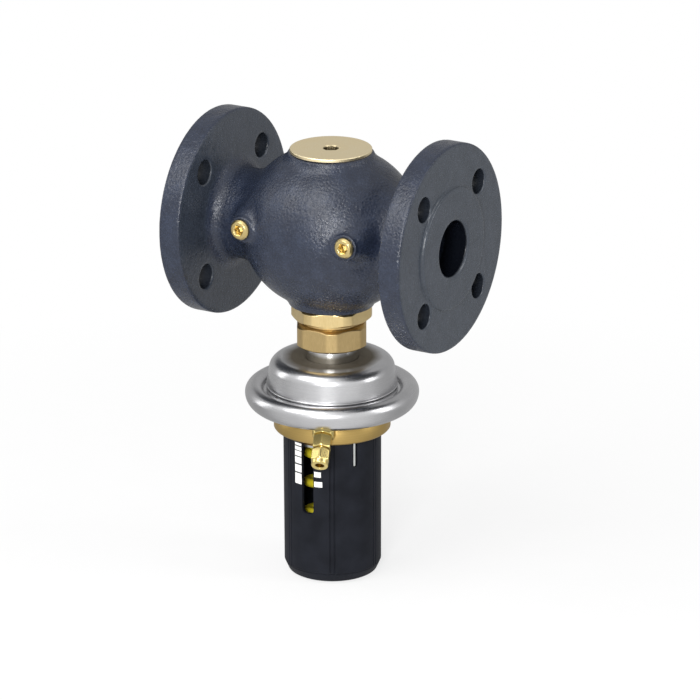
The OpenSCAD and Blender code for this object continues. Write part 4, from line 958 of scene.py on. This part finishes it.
handle = lathe("handle_shell", rounded([
    (HANDLE_IN_R, HANDLE_LOW, 0), (HANDLE_LOW_R - 0.5, HANDLE_LOW, 0.3),
    (HANDLE_LOW_R, HANDLE_LOW + 0.5, 0.3), (HANDLE_R, HANDLE_TOP - 0.7, 0.4),
    (HANDLE_R - 0.7, HANDLE_TOP, 0.4), (HANDLE_IN_R, HANDLE_TOP, 0.2), (HANDLE_IN_R, SNAP_Z + 2.4, 0),
    (SNAP_R, SNAP_Z + 1.5, 0.3), (SNAP_R, SNAP_Z, 0.3), (HANDLE_IN_R, SNAP_Z, 0),
    (HANDLE_IN_R, KEYWAY_TOP + 0.1, 0), (HANDLE_IN_R, KEYWAY_TOP, 0)]),
    shape=handle_shape, angles=handle_angles())
cut_out(handle, [cutter(*WINDOW, WINDOW_BEARING), cutter(*SLOT, SLOT_BEARING)])
dress(smooth(handle, 32), "handle", "black_plastic", BLACK, "setting_handle")


# Bottom cap, pushed into the handle
cap = lathe("handle_cap_moulding", rounded([
    (0, HANDLE_LOW - 1.5, 0), (29.4, HANDLE_LOW - 3.2, 0), (29.4, HANDLE_LOW + 3.5, 0.3),
    (32.3, HANDLE_LOW + 3.5, 0.3), (32.3, HANDLE_LOW - 0.15, 0), (34.6, HANDLE_LOW - 0.15, 0.2),
    (34.5, HANDLE_LOW - 1.2, 0.4), (32.2, CAP_LOW + 0.9, 1.0), (30.6, CAP_LOW, 0.9), (24.2, CAP_LOW, 0.4),
    (23.6, CAP_LOW + 0.8, 0.4), (0, CAP_LOW + 0.8, 0)]), ROUND_COLUMNS)
dress(smooth(cap), "handle", "black_plastic", BLACK, "handle_cap")


# White scale bars printed beside the window: two bearings, then the upper and lower edge
BARS = [
    (-18.6, -8.3, -153.8, -155.8), (-18.6, -8.3, -156.6, -159.5), (-18.6, -8.3, -160.1, -163.9),
    (-18.6, -8.3, -164.7, -169.5), (-18.6, -8.3, -170.6, -176.1), (-18.6, -8.3, -177.1, -185.2),
    (8.7, 17.0, -173.4, -177.5), (8.7, 18.5, -180.9, -185.0),
]
PRINT_T = 0.06


def bar_mesh(index, start, end, top, low):
    """A thin curved patch that follows the handle's wall, half sunk into it."""
    angles = np.radians(np.linspace(start, end, 9) - 90)
    points = []
    for lift in (-PRINT_T, PRINT_T):
        for z in (top, low):
            share = (HANDLE_TOP - z) / (HANDLE_TOP - HANDLE_LOW)
            r = HANDLE_R + (HANDLE_LOW_R - HANDLE_R) * share + lift
            points += [(r * math.cos(a), r * math.sin(a), z) for a in angles]
    n = len(angles)
    faces = []
    for k in range(n - 1):
        faces += [(k, k + 1, n + k + 1, n + k), (2 * n + k, 3 * n + k, 3 * n + k + 1, 2 * n + k + 1),
                  (k, 2 * n + k, 2 * n + k + 1, k + 1), (n + k, n + k + 1, 3 * n + k + 1, 3 * n + k)]
    faces += [(0, n, 3 * n, 2 * n), (n - 1, 3 * n - 1, 4 * n - 1, 2 * n - 1)]
    return make_object("scale_bar_%d" % index, points, faces)


for number, bar in enumerate(BARS):
    dress(bar_mesh(number, *bar), "handle", "black_plastic", WHITE)


# Locking pin in the narrow slot
PIN_AT_R = 33.9
pin_low, pin_high = low_z("locking_pin"), high_z("locking_pin")
pin_turn = bearing_angle(SLOT_BEARING)
pin_at = np.array((PIN_AT_R * math.cos(pin_turn), PIN_AT_R * math.sin(pin_turn), 0))
pin = lathe("locking_pin_steel", rounded([
    (0, pin_low, 0), (1.0, pin_low, 0.2), (1.2, pin_low + 0.3, 0.2), (1.2, pin_high - 0.6, 0.3),
    (0.6, pin_high, 0.2), (0, pin_high, 0)]), columns=32, place=lambda points: points + pin_at)
dress(smooth(pin), "handle", "inner_steel", ZINC, "locking_pin")


# Inner nodes keep their CAD shapes and get a material
INNER = {
    INNER_STEEL: ["seat_ring", "balance_cylinder", "valve_stem", "valve_cone", "cone_nut", "piston_nut",
                  "actuator_stem", "upper_plate", "lower_plate", "plate_nut", "spring_plate"],
    INNER_BRASS: ["guide_bush", "gland_bush", "balance_piston", "thrust_washer", "setting_nut",
                  "fitting_ferrule"],
    RUBBER: ["cover_gasket", "insert_gasket", "union_gasket", "stem_seals", "gland_seals", "cone_seal",
             "piston_seal", "diaphragm"],
}
for material, names in INNER.items():
    for node_name in names:
        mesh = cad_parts[node_name].data
        mesh.materials.clear()
        mesh.materials.append(material)


# Camera
def away_from(azimuth, elevation):
    """Direction from the part to something, its azimuth counted in degrees from the front."""
    a, e = math.radians(azimuth), math.radians(elevation)
    return math.sin(a) * math.cos(e), -math.cos(a) * math.cos(e), math.sin(e)


def camera_frame():
    """The camera's right, up and back directions."""
    a, roll = math.radians(CAMERA_AZIMUTH), math.radians(CAMERA_ROLL)
    back = Vector(away_from(CAMERA_AZIMUTH, CAMERA_ELEVATION))
    right = Vector((math.cos(a), math.sin(a), 0))
    up = back.cross(right)
    rolled_right = math.cos(roll) * right + math.sin(roll) * up
    rolled_up = math.cos(roll) * up - math.sin(roll) * right
    return rolled_right, rolled_up, back


right, up, back = camera_frame()
target = (right * CAMERA_RIGHT_MM + up * CAMERA_UP_MM) * MM
lens = bpy.data.cameras.new("camera")
lens.sensor_width = SENSOR_MM
lens.lens = PIXELS_PER_MM * CAMERA_DISTANCE / MM * SENSOR_MM / IMAGE_PIXELS
lens.clip_end = CAMERA_CLIP_END
camera = bpy.data.objects.new("camera", lens)
bpy.context.scene.collection.objects.link(camera)
turn = Matrix((right, up, back)).transposed().to_4x4()
camera.matrix_world = Matrix.Translation(target + back * CAMERA_DISTANCE) @ turn
bpy.context.scene.camera = camera


# Lamps: azimuth, elevation, distance, width and height in metres, and power
LAMPS = {
    "key_lamp": (-18, 52, 1.6, (0.9, 0.9), 12),
    "front_lamp": (22, 20, 1.7, (0.35, 0.35), 19),
    "side_lamp": (105, 25, 1.8, (0.5, 1.2), 8),
    "left_lamp": (-75, 15, 1.8, (0.4, 1.2), 4),
}
PART_MIDDLE = Vector((0, 0, -0.09))


def lamp(name, azimuth, elevation, distance, size, power):
    """A soft rectangular lamp that looks at the part's middle."""
    data = bpy.data.lights.new(name, "AREA")
    data.shape = "RECTANGLE"
    data.size, data.size_y = size
    data.energy = power
    obj = bpy.data.objects.new(name, data)
    bpy.context.scene.collection.objects.link(obj)
    away = Vector(away_from(azimuth, elevation))
    obj.location = PART_MIDDLE + away * distance
    obj.rotation_euler = away.to_track_quat("Z", "Y").to_euler()


for name, setting in LAMPS.items():
    lamp(name, *setting)


# World and floor: plain white, and in reflections darker towards the unlit end behind the part
STUDIO_FRONT = away_from(24, 30)
UNLIT_END = 0.52
WORLD_LIGHT = 0.5
WORLD_FALL = (-0.35, 0.75)
FLOOR_FALL = (0.0, 0.78)

# The floor shows most shadow up to the first of these distances in metres, and none past the second
SHADOW_ENDS = (0.10, 0.60)
NEAR_GLOW = 0.72
FLOOR_HALF = 6000


def shown_rays(n):
    """The light path, and 1 on rays that show the background: from the camera, in metal and in glass."""
    path = n.add("ShaderNodeLightPath").outputs
    either = n.math("MAXIMUM", path["Is Camera Ray"], path["Is Glossy Ray"])
    return path, n.math("MAXIMUM", either, path["Is Transmission Ray"])


def background(n, strength):
    """A white background of some strength."""
    node = n.add("ShaderNodeBackground")
    node.inputs["Color"].default_value = (1, 1, 1, 1)
    n.feed(strength, node.inputs["Strength"])
    return node.outputs[0]


def studio_world():
    """White where it is shown, falling off in reflections, and weaker where it only lights."""
    world = bpy.data.worlds.new("studio")
    world.use_nodes = True
    n = Nodes(world.node_tree)
    n.tree.nodes.clear()
    path, shown = shown_rays(n)
    facing = n.add("ShaderNodeVectorMath", operation="DOT_PRODUCT")
    n.link(n.add("ShaderNodeTexCoord").outputs["Generated"], facing.inputs[0])
    facing.inputs[1].default_value = STUDIO_FRONT
    lit = n.between(facing.outputs["Value"], *WORLD_FALL, UNLIT_END, 1.0)
    white = background(n, n.math("MAXIMUM", path["Is Camera Ray"], lit))
    surface = n.blend(shown, background(n, WORLD_LIGHT), white)
    n.link(surface, n.add("ShaderNodeOutputWorld").inputs["Surface"])
    return world


def studio_floor():
    """White paper, which keeps the part's shadow near it and runs out into plain white."""
    n = MaterialNodes("floor")
    paper = n.ramp(n.noise(n.place, 30, 2, 0.5), [(0.3, (0.86, 0.86, 0.86)), (0.7, (0.88, 0.88, 0.88))])
    n.finish(paper, 0.9, Specular_IOR_Level=0.1)
    path, shown = shown_rays(n)
    from_part = radius_of(n, n.place)
    x, y, _ = n.parts(n.place)
    ahead = n.plus(n.times(x, STUDIO_FRONT[0]), n.times(y, STUDIO_FRONT[1]))
    ahead = n.math("DIVIDE", ahead, n.plus(from_part, 0.001))
    mirrored = n.add("ShaderNodeEmission")
    n.link(n.between(ahead, *FLOOR_FALL, UNLIT_END, 1.0), mirrored.inputs["Strength"])
    glow = n.add("ShaderNodeEmission")
    glow.inputs["Strength"].default_value = 1.0
    share = n.times(shown, n.between(from_part, *SHADOW_ENDS, NEAR_GLOW, 1.0))
    seen = n.blend(share, n.shader.outputs[0], glow.outputs[0])
    surface = n.blend(path["Is Glossy Ray"], seen, mirrored.outputs[0])
    n.link(surface, n.tree.nodes["Material Output"].inputs["Surface"])
    return n.material


bpy.context.scene.world = studio_world()

floor_z = CAP_LOW - 0.5
floor_corners = [(x * FLOOR_HALF, y * FLOOR_HALF, floor_z) for x, y in ((-1, -1), (1, -1), (1, 1), (-1, 1))]
floor = make_object("floor", floor_corners, [(0, 1, 2, 3)])
floor.data.materials.append(studio_floor())

bpy.context.scene.view_settings.view_transform = "Standard"
